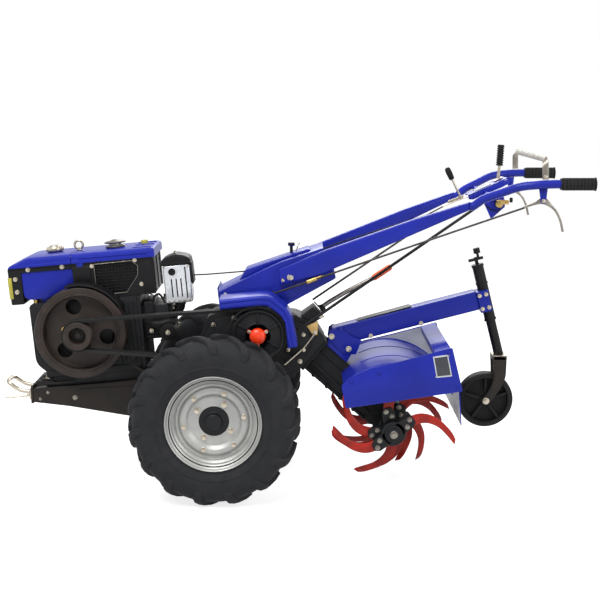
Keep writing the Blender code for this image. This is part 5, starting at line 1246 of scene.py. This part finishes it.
def buildControls():
    plate = plateAt([(0.9630, 1.1190), (1.1100, 1.1850), (1.1080, 1.1890), (0.9610, 1.1230)], -0.050, 0.050, 0.0012)
    brackets = [plateAt([(0.9640, 1.1180), (1.1100, 1.1835), (1.1180, 1.1780), (1.1130, 1.1660), (1.0900, 1.1530), (0.9800, 1.1060), (0.9630, 1.1070)],
                        y - 0.002, y + 0.002, 0.0008) for y in (-0.050, 0.050)]
    cross = drumMesh(at(1.030, 0, 1.128), 0.0100, 0.2650, "Y", 32)
    newPiece("consolePressing", together([plate, *brackets, cross]), "bakedBlueEnamel", replaced=["control_console"])
    sign = plateAt([(0.9900, 1.1368), (1.0500, 1.1637), (1.0494, 1.1650), (0.9894, 1.1381)], -0.036, 0.036, 0.0003)
    newPiece("consoleBlankPlate", sign, "blankAluminiumPlate")
    switchPlate = plateAt([(1.0070, 1.1000), (1.0070, 1.1270), (1.0800, 1.1270), (1.0870, 1.1070), (1.0860, 1.0860), (1.0350, 1.0400)], -0.1515, -0.1470, 0.001)
    newPiece("switchBracket", switchPlate, "bakedBlueEnamel")
    can = latheMesh([(0, -0.0140), (0.0120, -0.0140), (0.0145, -0.0125), (0.0150, -0.0100), (0.0150, 0.0120), (0, 0.0120)], 36, False)
    body = together([moved(can, Matrix.Translation(at(1.0620, -0.1620, 1.1000))), drumMesh(at(1.0780, -0.1620, 1.1050), 0.0090, 0.020, "X", 28)])
    newPiece("ignitionCan", body, "yellowZinc")
    newPiece("ignitionKnob", bevelled(drumMesh(at(1.1070, -0.1620, 1.1130), 0.0095, 0.0050, "X", 24), 0.0015), "mouldedPolyamide")
    newPiece("switchWire", wireMesh([at(1.0700, -0.1620, 1.0880), at(1.0600, -0.1620, 1.0700), at(1.0350, -0.1580, 1.0760), at(1.0100, -0.150, 1.0950)], 0.0022, 3), "mouldedPolyamide")
    strip = plateAt([(0.8610, 1.0790), (0.9605, 1.1180), (0.9590, 1.1210), (0.8600, 1.0825)], -0.070, -0.030, 0.0008)
    notches = plateAt([(0.8800, 1.0900), (0.9450, 1.1160), (0.9400, 1.1240), (0.8850, 1.1020)], -0.0515, -0.0485, 0.0008)
    newPiece("throttleQuadrant", together([strip, notches]), "brightZinc", replaced=["throttle_lever"])
    newPiece("throttleStick", wireMesh([at(0.935, -0.050, 1.110), at(0.910, -0.050, 1.160), at(0.895, -0.050, 1.190)], 0.0042, 4), "brightZinc")
    bullet = latheMesh([(0, -0.0250), (0.0080, -0.0250), (0.0105, -0.0200), (0.0118, 0.0050), (0.0110, 0.0180), (0.0070, 0.0240), (0, 0.0255)], 28, False)
    aim = Matrix.Translation(at(0.8875, -0.050, 1.2055)) @ Matrix.Rotation(math.radians(-25.5), 4, "Y") @ Matrix.Rotation(math.pi / 2, 4, "X")
    newPiece("throttleKnob", moved(bullet, aim), "mouldedPolyamide")
    newPiece("throttleCable", wireMesh([at(0.865, -0.050, 1.0790), at(0.800, -0.050, 1.0450), at(0.480, -0.040, 0.9430), at(0.330, -0.030, 0.8850), at(0.110, -0.020, 0.8250), at(-0.05, -0.02, 0.8120), (crank.x + 0.30, -0.02, 0.8060)], 0.0026, 3), "mouldedPolyamide")
    # Clutch lever with a ribbed grip
    base = plateAt([(1.0650, 1.1710), (1.0990, 1.1862), (1.0970, 1.1905), (1.0630, 1.1752)], -0.018, 0.018, 0.001)
    stick = wireMesh([at(1.082, 0, 1.180), at(1.084, 0, 1.205), at(1.087, 0, 1.250)], 0.0058, 5)
    newPiece("clutchStick", together([base, stick]), "brightZinc")
    ribs = [(0, 0.0), (0.0105, 0.0)]
    for i in range(9):
        a = 0.0010 + i * 0.0088
        ribs += [(0.0112, a), (0.0140, a + 0.0008), (0.0140, a + 0.0048), (0.0112, a + 0.0056)]
    ribs += [(0.0125, 0.0800), (0.0105, 0.0807), (0, 0.0807)]
    aim = Matrix.Translation(at(1.0862, 0, 1.2330)) @ Matrix.Rotation(math.radians(2.9), 4, "Y") @ Matrix.Rotation(math.pi / 2, 4, "X")
    newPiece("clutchGrip", moved(latheMesh(ribs, 32, False), aim), "mouldedGripRubber", replaced=["clutch_lever"])
    bail = flatBar([at(1.1960, -0.3500, 1.2010), at(1.1960, -0.3380, 1.2740), at(1.2050, 0.3380, 1.2760), at(1.2090, 0.3500, 1.2032)],
                   0.0115, 0.0045)
    newPiece("handleBailBar", bail, "brushedSteelBar", replaced=["handle_bail"])
    bolts("bailBolts", [at(1.196, -0.3520, 1.2100)], 0.010)
    # Gear lever
    stick = wireMesh([at(0.3945, 0, 0.6748), at(0.428, 0, 0.699), at(0.500, 0, 0.742), at(0.602, 0, 0.794)], 0.0088, 5)
    newPiece("gearLeverRod", stick, "brushedSteelBar", replaced=["gear_lever"])
    sleeve = latheMesh([(0, 0), (0.0100, 0), (0.0120, 0.002), (0.0125, 0.020), (0.0120, 0.070), (0.0105, 0.083), (0.0060, 0.0852), (0, 0.0855)], 28, False)
    aim = Matrix.Translation(at(0.602, 0, 0.794)) @ Matrix.Rotation(math.radians(56.5), 4, "Y") @ Matrix.Rotation(math.pi / 2, 4, "X")
    newPiece("gearLeverSleeve", moved(sleeve, aim), "orangeVinylSleeve")
    boot = moved(latheMesh([(0, 0), (0.020, 0), (0.019, 0.004), (0.016, 0.006), (0.0165, 0.009), (0.013, 0.012), (0.0135, 0.015), (0.0095, 0.019), (0, 0.019)], 32, False),
                 Matrix.Translation(at(0.3960, 0, 0.6710)) @ Matrix.Rotation(math.radians(52), 4, "Y") @ Matrix.Rotation(math.pi / 2, 4, "X"))
    newPiece("gearLeverBoot", boot, "mouldedGripRubber")
    pin = bevelled(drumMesh(at(0.299, -0.1093, 0.604), 0.0090, 0.0178, "Y", 24), 0.001)
    rod = wireMesh([at(1.004, -0.120, 1.096), at(0.299, -0.120, 0.604)], 0.0058, 4, False)
    newPiece("shiftRodBar", together([pin, rod]), "satinBlackPaint", replaced=["shift_rod"])


buildHandles()
buildControls()
print("handles made")


# Tiller: beam, bracket, hood with its shields, and the rotor

tiller = dict(x=0.671, z=0.232, half=0.270, hoodR=0.272, sheet=0.0035, beamFrom=(0.450, 0.566), beamTo=(1.010, 0.711))


def hoodArc(radius, start, end, steps):
    return [(tiller["x"] + radius * math.cos(math.radians(start + (end - start) * i / steps)),
             tiller["z"] + radius * math.sin(math.radians(start + (end - start) * i / steps))) for i in range(steps + 1)]


def caseOutline(start, end, depth):
    first, last = Vector((0.365, 0.503)), Vector((tiller["x"], tiller["z"]))
    along = (last - first).normalized()
    across = Vector((-along.y, along.x)) * depth
    a, b = first + along * start, first + along * end
    return [tuple(a - across), tuple(b - across), tuple(b + across), tuple(a + across)]


def beamAt(share, up=0.0):
    # A point on the beam's middle line at a share of its length, raised square to it
    first, last = Vector(tiller["beamFrom"]), Vector(tiller["beamTo"])
    along = (last - first).normalized()
    spot = first + (last - first) * share + Vector((-along.y, along.x)) * up
    return spot.x, spot.y


def buildTiller():
    half, sheet = tiller["half"], tiller["sheet"]
    newPiece("tillerBeam", bevelled(cadCopy("tail_beam"), 0.006, 4), "bakedBlueEnamel", replaced=["tail_beam"])
    cap = plateAt([beamAt(0.17, 0.0365), beamAt(0.56, 0.0365), beamAt(0.545, 0.0430), beamAt(0.19, 0.0400)], -0.031, 0.031, 0.001)
    newPiece("beamTopStrip", cap, "satinBlackPaint")
    newPiece("tillerBracket", bevelled(cadCopy("tiller_bracket"), 0.004, 3), "bakedBlueEnamel", replaced=["tiller_bracket"])
    lips = [plateAt([(0.4300, 0.5930), (0.4470, 0.6040), (0.5560, 0.5560), (0.5350, 0.5000), (0.4880, 0.5010), (0.4250, 0.5560)],
                    *sorted((side * 0.0503, side * 0.0540)), 0.001) for side in (-1, 1)]
    newPiece("bracketCheeks", together(lips), "bakedBlueEnamel")
    for side, word in ((-1, "left"), (1, "right")):
        facing = towardsRight if side > 0 else Matrix.Identity(4)
        bolts(word + "BracketBolts", [at(0.439, side * 0.0542, 0.572), at(0.506, side * 0.0542, 0.522)], 0.015, facing=facing, height=0.008, washer=0.002)
        bolts(word + "BeamBolts", [at(0.593, side * 0.0405, 0.572), at(0.789, side * 0.0405, 0.622)], 0.011, facing=facing)
    ends = half - 0.0003
    skin = outlineMesh([(axle.x + x, z) for x, z in hoodArc(tiller["hoodR"], 36, 135, 56) + hoodArc(tiller["hoodR"] - sheet, 135, 36, 56)], -ends, ends)
    slot = outlineMesh([(axle.x + x, z) for x, z in caseOutline(-0.05, 0.35, 0.0605)], -0.0385, 0.0385)
    newPiece("hoodPressing", carved(skin, [slot], "DIFFERENCE"), "bakedBlueEnamel", replaced=["tiller_hood"], smooth=30)
    beads = []
    for y in (-ends + 0.014, -ends + 0.0305, -0.090, 0.090, ends - 0.0305, ends - 0.014):
        start = 128 if abs(y) > 0.1 else 116
        line = [at(x, y, z) for x, z in hoodArc(tiller["hoodR"] - 0.0005, start, 38, 40)]
        beads.append(wireMesh(line, 0.0026, 4))
    newPiece("hoodSwages", together(beads), "bakedBlueEnamel", smooth=60)
    newPiece("hoodRearStrap", bevelled(cadCopy("hood_strap"), 0.0012), "bakedBlueEnamel", replaced=["hood_strap"])
    lip = plateAt([(0.8190, 0.5500), (0.8210, 0.5500), (0.8290, 0.5190), (0.8270, 0.5185)], -ends, ends, 0.0005)
    rearLip = plateAt([(0.8780, 0.5660), (0.8800, 0.5665), (0.8880, 0.5380), (0.8860, 0.5375)], -ends, ends, 0.0005)
    newPiece("strapLips", together([lip, rearLip]), "bakedBlueEnamel")
    outline = [(0.4755, 0.4280), (0.4950, 0.4480), (0.5215, 0.4640), (0.580, 0.4890), (0.700, 0.5170), (0.8820, 0.5665), (0.9215, 0.4060), (0.4915, 0.3420)]
    for side, word in ((-1, "left"), (1, "right")):
        facing = towardsRight if side > 0 else Matrix.Identity(4)
        newPiece(word + "ShieldPanel", bevelled(cadCopy("side_shield_" + word), 0.0012), "bakedBlueEnamel", replaced=["side_shield_" + word])
        low, high = sorted((side * (half - 0.0008), side * (half + 0.0002)))
        # The shield's inner face is drawn pale grey as a painted reflection on the blue sheet, not as its own paint
        newPiece(word + "ShieldInside", plateAt(outline, low, high, 0.0002, 1), "paleGreyRimAndPaintedReflection")
        edge = [at(x, side * (half + sheet - 0.001), z) for x, z in ((0.4890, 0.3405), (0.9240, 0.4052), (0.8832, 0.5690), (0.700, 0.5192), (0.580, 0.4912), (0.5205, 0.4652), (0.4900, 0.4450), (0.4725, 0.4250))]
        newPiece(word + "ShieldHem", wireMesh(edge + edge[:1], 0.0020, 3), "bakedBlueEnamel")
        bolts(word + "ShieldBolts", [at(x, side * (half + sheet), z) for x, z in ((0.5080, 0.4420), (0.6100, 0.4750), (0.8650, 0.5520), (0.9080, 0.4200))],
              0.010, "bakedBlueEnamel", facing=facing, height=0.004)
    face = half + sheet
    sign = [(0.8120, 0.5370), (0.8680, 0.5450), (0.8850, 0.4620), (0.8270, 0.4560)]
    middle = Vector((sum(x for x, z in sign) / 4, sum(z for x, z in sign) / 4))
    inner = [tuple(middle + (Vector(p) - middle) * 0.86) for p in sign]
    newPiece("shieldPlateRim", plateAt(sign, -face - 0.0010, -face + 0.0005, 0.0004, 1), "paleGreyRimAndPaintedReflection")
    newPiece("shieldBlankPlate", plateAt(inner, -face - 0.0014, -face, 0.0003, 1), "blankAluminiumPlate")
    bolts("shieldRivets", [at(x, -face - 0.0010, z) for x, z in ((middle.x - 0.030, middle.y + 0.0355), (middle.x + 0.0235, middle.y + 0.0415),
                                                                  (middle.x - 0.0235, middle.y - 0.0400), (middle.x + 0.0315, middle.y - 0.0345))], 0.004, height=0.0015, washer=0)
    newPiece("apronPanel", bevelled(cadCopy("rear_apron"), 0.001), "bakedBlueEnamel", replaced=["rear_apron"])
    # The apron's inner face is drawn pale grey as a painted reflection on the blue sheet
    newPiece("apronInside", plateAt([(0.9128, 0.3990), (0.9140, 0.3990), (0.9228, 0.2720), (0.9216, 0.2720)], 0.013 - half, half - 0.013, 0.0002, 1), "paleGreyRimAndPaintedReflection")
    newPiece("apronHinge", wireMesh([at(0.9150, 0.012 - half, 0.4035), at(0.9150, half - 0.012, 0.4035)], 0.0048, 5), "satinBlackPaint")


# share of the rotor's half width, direction of the tip in degrees, side that the tip bends to
tines = dict(half=0.262, lean=12, tipHalf=0.010, steps=5, places=(
    (-0.897, 173, -1), (-0.897, 353, -1), (-0.763, 142, 1), (-0.763, 60, 1), (-0.477, 185, -1),
    (-0.477, 20, -1), (-0.267, 234, -1), (0.267, 302, 1), (0.267, 258, 1), (0.477, 345, 1),
    (0.477, 165, 1), (0.763, 100, -1), (0.763, 282, -1), (0.897, 220, 1), (0.897, 40, 1)))


def tineBlade(across, direction, bend):
    # Stations: radius, angle ahead of the tip, step across, half width, half thickness
    lean = math.radians(tines["lean"])
    tip = (tiller["z"] - tines["tipHalf"] * math.sin(lean)) / math.cos(lean)
    stations = [(0.040, 45, 0, 0.0170, 0.0040), (0.085, 41.5, 0, 0.0195, 0.0040), (0.125, 35, 0, 0.0210, 0.0040), (0.165, 23.5, 0.001, 0.0205, 0.0040),
                (0.200, 11, 0.007, 0.0185, 0.0040), (0.222, 4, 0.016, 0.0160, 0.0036), (tip - 0.0015, 0.4, 0.0235, 0.0105, 0.0028)]
    rings = []
    for i in range(len(stations) - 1):
        a, b, c, d = (stations[max(0, min(len(stations) - 1, i + k))] for k in (-1, 0, 1, 2))
        last = i == len(stations) - 2
        for step in range(tines["steps"] + last):
            t = step / tines["steps"]
            radius, ahead, over, wide, thick = (0.5 * (2 * q + (r - p) * t + (2 * p - 5 * q + 4 * r - s) * t * t + (3 * q - p - 3 * r + s) * t ** 3)
                                                for p, q, r, s in zip(a, b, c, d))
            turn = math.radians(direction + ahead)
            out, sweep = Vector((math.cos(turn), 0, math.sin(turn))), Vector((-math.sin(turn), 0, math.cos(turn)))
            centre = out * radius + Vector((0, across + bend * over, 0))
            flat = Vector((0, thick, 0))
            # The trailing edge is ground thin, the leading one stays blunt
            rings.append([tuple(centre + sweep * wide * u + flat * v) for u, v in
                          ((-1, -0.35), (-0.75, -1), (0.75, -1), (1, -0.6), (1, 0.6), (0.75, 1), (-0.75, 1), (-1, 0.35))])
    return ringSection(rings)


def buildRotor():
    body = bodyOfNode["tine_rotor"]
    place = Matrix.Translation(rotorAxis)
    half = tines["half"]
    newPiece("tineBlades", moved(together([tineBlade(share * half, direction, bend) for share, direction, bend in tines["places"]]), place),
             "bakedRedEnamel", body, ["tine_rotor"], smooth=30)
    shaft = [bevelled(drumMesh((0, 0, 0), 0.0250, half, "Y", 40), 0.0015)]
    heads, seats = [], []
    for share in sorted({share for share, _, _ in tines["places"]}):
        seats.append(bevelled(drumMesh((0, share * half, 0), 0.046, 0.0110, "Y", 40), 0.002, 2))
        seats.append(bevelled(drumMesh((0, share * half, 0), 0.034, 0.0170, "Y", 40), 0.002, 2))
    for share, direction, bend in tines["places"]:
        turn = math.radians(direction + 44)
        out, sweep = Vector((math.cos(turn), 0, math.sin(turn))), Vector((-math.sin(turn), 0, math.cos(turn)))
        y = share * half
        side = -1 if share < 0 else 1
        line = [out * 0.020 - sweep * 0.026, out * 0.075 - sweep * 0.0245, out * 0.094 - sweep * 0.0150, out * 0.096 + sweep * 0.0120, out * 0.080 + sweep * 0.0240, out * 0.020 + sweep * 0.026]
        for low, high in ((y - 0.0110, y - 0.0044), (y + 0.0044, y + 0.0110)):
            seats.append(bevelled(outlineMesh([(p.x, p.z) for p in line], low, high), 0.0016, 2))
        facing = Matrix.Identity(4) if side < 0 else towardsRight
        for reach, shift in ((0.058, -0.010), (0.081, 0.008)):
            spot = out * reach + sweep * shift
            heads.append(moved(hexBolt(0.0125, 0.0055, 0.0012), Matrix.Translation((spot.x, y + side * 0.0110, spot.z)) @ facing @ Matrix.Rotation(turn, 4, "Y")))
    newPiece("tineSeats", moved(together(shaft + seats), place), "sandCastBlack", body, smooth=35)
    for side in (-1, 1):
        facing = Matrix.Identity(4) if side < 0 else towardsRight
        heads.append(moved(hexBolt(0.0190, 0.0070, 0.0025), Matrix.Translation((0, side * (half - 0.0005), 0)) @ facing))
    newPiece("tineBolts", moved(together(heads), place), "brushedSteelBar", body)


buildTiller()
buildRotor()
print("tiller made")


# Tail column and wheel

tail = dict(foot=(1.0665, 0.627), tilt=14.5, top=0.850, column=0.022, crown=0.480, x=1.050, z=0.310, wheelR=0.110, thread=0.0030)


def buildTail():
    seat = Matrix.Translation(at(tail["foot"][0], 0, tail["foot"][1])) @ Matrix.Rotation(math.radians(-tail["tilt"]), 4, "Y")
    stand = Matrix.Rotation(math.pi / 2, 4, "X")
    length = (tail["top"] - tail["foot"][1]) / math.cos(math.radians(tail["tilt"]))
    r = tail["column"]
    tube = latheMesh([(0.0196, 0), (r - 0.001, 0), (r, 0.001), (r, length - 0.012), (r + 0.0020, length - 0.011), (r + 0.0020, length - 0.001), (r, length), (0.006, length), (0.006, length - 0.005), (0.0196, length - 0.005)], 48)
    collar = [latheMesh([(r - 0.001, z), (r + 0.0025, z), (r + 0.0025, z + 0.006), (r - 0.001, z + 0.006)], 40) for z in (0.002, 0.150)]
    newPiece("columnTube", moved(together([tube, *collar]), seat @ stand), "satinBlackPaint", replaced=["column_tube"])
    shell = boxMesh((-0.0332, -0.045, 0.045), (0.012, 0.045, 0.128))
    bore = drumMesh((0, 0, 0.09), r - 0.0005, 0.08, "Z", 40)
    newPiece("columnClamp", moved(bevelled(carved(shell, [bore], "DIFFERENCE"), 0.003, 3), seat), "bakedBlueEnamel")
    spots = [seat @ Vector((x, -0.0452, z)) for x in (-0.0240, 0.0020) for z in (0.0600, 0.1130)]
    bolts("clampBolts", spots, 0.0105, height=0.0055)
    bolts("clampBoltsRight", [(x, -y, z) for x, y, z in spots], 0.0105, height=0.0055, facing=towardsRight)
    newPiece("columnCrank", bevelled(cadCopy("crank_handle"), 0.0018, 2), "mouldedPolyamide", replaced=["crank_handle"])
    body = bodyOfNode["tail_post"]
    drop = (tail["foot"][1] - tail["crown"]) / math.cos(math.radians(tail["tilt"]))
    post = drumMesh((0, 0, (0.175 - drop) / 2), 0.019, (0.175 + drop) / 2, "Z", 44)
    newPiece("tailPost", moved(bevelled(post, 0.001), seat), "satinBlackPaint", body, ["tail_post"])
    crownX = tail["foot"][0] + (tail["foot"][1] - tail["crown"]) * math.tan(math.radians(tail["tilt"]))
    lowY, highY = tailSides()
    crown = bevelled(boxMesh(at(crownX - 0.030, -highY, tail["crown"] - 0.006), at(crownX + 0.024, highY, tail["crown"] + 0.010)), 0.002, 2)
    legLine = [(crownX - 0.030, 0.4880), (crownX + 0.0240, 0.4880), (crownX + 0.0220, 0.4050), (1.1080, 0.3620), (1.0820, 0.3250), (1.0620, 0.2980), (1.0480, 0.2935),
               (1.0340, 0.3020), (1.0350, 0.3180), (1.0560, 0.3420), (1.0730, 0.3750), (crownX - 0.0260, 0.4100)]
    curve = [(p[0], p[1]) for p in arched(legLine + legLine[:1], 0.020, 4)[:-1]]
    legs = [plateAt(curve, *sorted((side * lowY, side * highY)), 0.0015) for side in (-1, 1)]
    ribs = [plateAt([(crownX - 0.0300, 0.4880), (crownX - 0.0270, 0.4880), (crownX - 0.0225, 0.4100), (1.0745, 0.3760), (1.0715, 0.3770), (crownX - 0.0255, 0.4110)],
                    *sorted((side * (highY - 0.001), side * (highY + 0.0030))), 0.0008) for side in (-1, 1)]
    newPiece("tailFork", together([crown, *legs, *ribs]), "primedPlate", body)
    edge = bevelled(boxMesh(at(crownX - 0.0305, -highY - 0.0005, tail["crown"] + 0.0100), at(crownX + 0.0245, highY + 0.0005, tail["crown"] + 0.0122)), 0.0005, 1)
    newPiece("forkTopPlate", edge, "brightZinc", body)
    nuts = [moved(hexBolt(0.017, 0.0085, 0.002), Matrix.Translation(at(tail["x"], side * (highY + 0.0005), tail["z"])) @ (Matrix.Identity(4) if side < 0 else towardsRight)) for side in (-1, 1)]
    nuts.append(drumMesh(at(tail["x"], 0, tail["z"]), 0.0060, highY, "Y", 28))
    newPiece("tailAxleBolt", together(nuts), "brightZinc", body)
    # Moulded roller: rim, thin web and five ribs
    half = rollerHalf()
    R = tail["wheelR"]
    rim = latheMesh([(R - 0.022, -half + 0.002), (R - 0.020, -half), (R - 0.012, -half), (R - 0.003, -half + 0.005), (R, -half + 0.014), (R, half - 0.014), (R - 0.003, half - 0.005), (R - 0.012, half), (R - 0.020, half), (R - 0.022, half - 0.002),
                     (R - 0.025, 0.004), (0.028, 0.004), (0.022, 0.008), (0.021, half), (0.0085, half), (0.0085, -half), (0.021, -half), (0.022, -0.008), (0.028, -0.004), (R - 0.025, -0.004)], 72)
    seamLine = latheMesh([(R - 0.0006, -0.0012), (R + 0.0004, 0), (R - 0.0006, 0.0012)], 72)
    rib = bevelled(boxMesh((-0.0055, -half + 0.006, 0.018), (0.0055, half - 0.006, R - 0.020)), 0.002, 2)
    spokes = ringMesh(rib, 5, "mouldedPolyamide")
    newPiece("tailRoller", moved(together([rim, seamLine, spokes]), Matrix.Translation(at(tail["x"], 0, tail["z"]))), "mouldedPolyamide", bodyOfNode["tail_wheel"], ["tail_wheel"])


def tailSides():
    # Inner and outer faces of the fork's legs
    return rollerHalf() + 0.006, rollerHalf() + 0.012


def rollerHalf():
    return max(abs((cadNodes["tail_wheel"].matrix_world @ v.co).y) for v in cadNodes["tail_wheel"].data.vertices)


buildTail()
print("tail made")


# Pieces listed in softened would get rounded edges and a finish; the list is empty, so every solid still shown just
# gets satin black paint

softened = {}


def softenRest():
    for node, (width, finish) in softened.items():
        if cadNodes[node].hide_render:
            continue
        mesh = bevelled(cadCopy(node), width) if width else cadCopy(node)
        newPiece(node + "Part", mesh, finish, bodyOfNode[node], [node])


softenRest()
for node, piece in cadNodes.items():
    if not piece.hide_render:
        piece.data.materials.clear()
        piece.data.materials.append(finishes["satinBlackPaint"])
print("remaining solids finished")


# Floor, light and camera

studio = dict(floorLit="#c9cacc", floorSeen=0.77, world=0.50, keyPower=230, fillPower=60, backPower=130)


def seenDirectly(tree):
    # One where a ray comes from the camera or from a shiny or clear surface, none elsewhere
    rays = addNode(tree, "ShaderNodeLightPath")
    both = addNode(tree, "ShaderNodeMath", {0: rays.outputs["Is Camera Ray"], 1: rays.outputs["Is Glossy Ray"]}, operation="MAXIMUM")
    return addNode(tree, "ShaderNodeMath", {0: both.outputs[0], 1: rays.outputs["Is Transmission Ray"]}, operation="MAXIMUM").outputs[0]


def buildStage():
    floorMesh = boxMesh((-40, -12, -0.05), (40, 60, 0))
    floorPiece = loose(floorMesh)
    floorPiece.name = "studioFloor"
    pale = bpy.data.materials.new("whiteStudioPaper")
    pale.use_nodes = True
    tree = pale.node_tree
    tree.nodes.clear()
    paper = addNode(tree, "ShaderNodeBsdfDiffuse", {"Color": toLinear(studio["floorLit"])})
    white = addNode(tree, "ShaderNodeEmission", {"Color": toLinear("#ffffff"), "Strength": studio["floorSeen"]})
    dimmed = addNode(tree, "ShaderNodeBsdfDiffuse", {"Color": toLinear("#bebebe")})
    both = addNode(tree, "ShaderNodeAddShader", {0: dimmed.outputs[0], 1: white.outputs[0]})
    mixed = addNode(tree, "ShaderNodeMixShader", {0: seenDirectly(tree), 1: paper.outputs[0], 2: both.outputs[0]})
    addNode(tree, "ShaderNodeOutputMaterial", {"Surface": mixed.outputs[0]})
    floorMesh.materials.append(pale)
    world = bpy.data.worlds.new("studioWorld")
    world.use_nodes = True
    tree = world.node_tree
    tree.nodes.clear()
    lit = addNode(tree, "ShaderNodeBackground", {"Color": toLinear("#f6f8fb"), "Strength": studio["world"]})
    seen = addNode(tree, "ShaderNodeBackground", {"Color": toLinear("#ffffff"), "Strength": 1.0})
    mixed = addNode(tree, "ShaderNodeMixShader", {0: seenDirectly(tree), 1: lit.outputs[0], 2: seen.outputs[0]})
    addNode(tree, "ShaderNodeOutputWorld", {"Surface": mixed.outputs[0]})
    bpy.context.scene.world = world
    lamps = (("keySoftbox", (-1.4, -2.4, 4.4), 3.0, studio["keyPower"]),
             ("fillSoftbox", (3.6, -2.8, 2.2), 2.6, studio["fillPower"]),
             ("backSoftbox", (0.6, 3.8, 3.4), 3.0, studio["backPower"]))
    for name, spot, size, power in lamps:
        lamp = bpy.data.lights.new(name, "AREA")
        lamp.size = size
        lamp.energy = power
        holder = bpy.data.objects.new(name, lamp)
        holder.location = spot
        holder.rotation_euler = (Vector((0, 0, 0.6)) - Vector(spot)).to_track_quat("-Z", "Y").to_euler()
        bpy.context.scene.collection.objects.link(holder)


def buildCamera():
    view = bpy.data.cameras.new("camera")
    view.sensor_width = 36
    view.lens = 73.4
    holder = bpy.data.objects.new("camera", view)
    holder.location = (axle.x + 0.3157, -4.7485, 1.4714)
    holder.rotation_euler = (math.radians(90 - 9.14), 0, 0)
    bpy.context.scene.collection.objects.link(holder)
    bpy.context.scene.camera = holder


buildStage()
buildCamera()
bpy.context.scene.view_settings.view_transform = "Standard"
print("stage made")
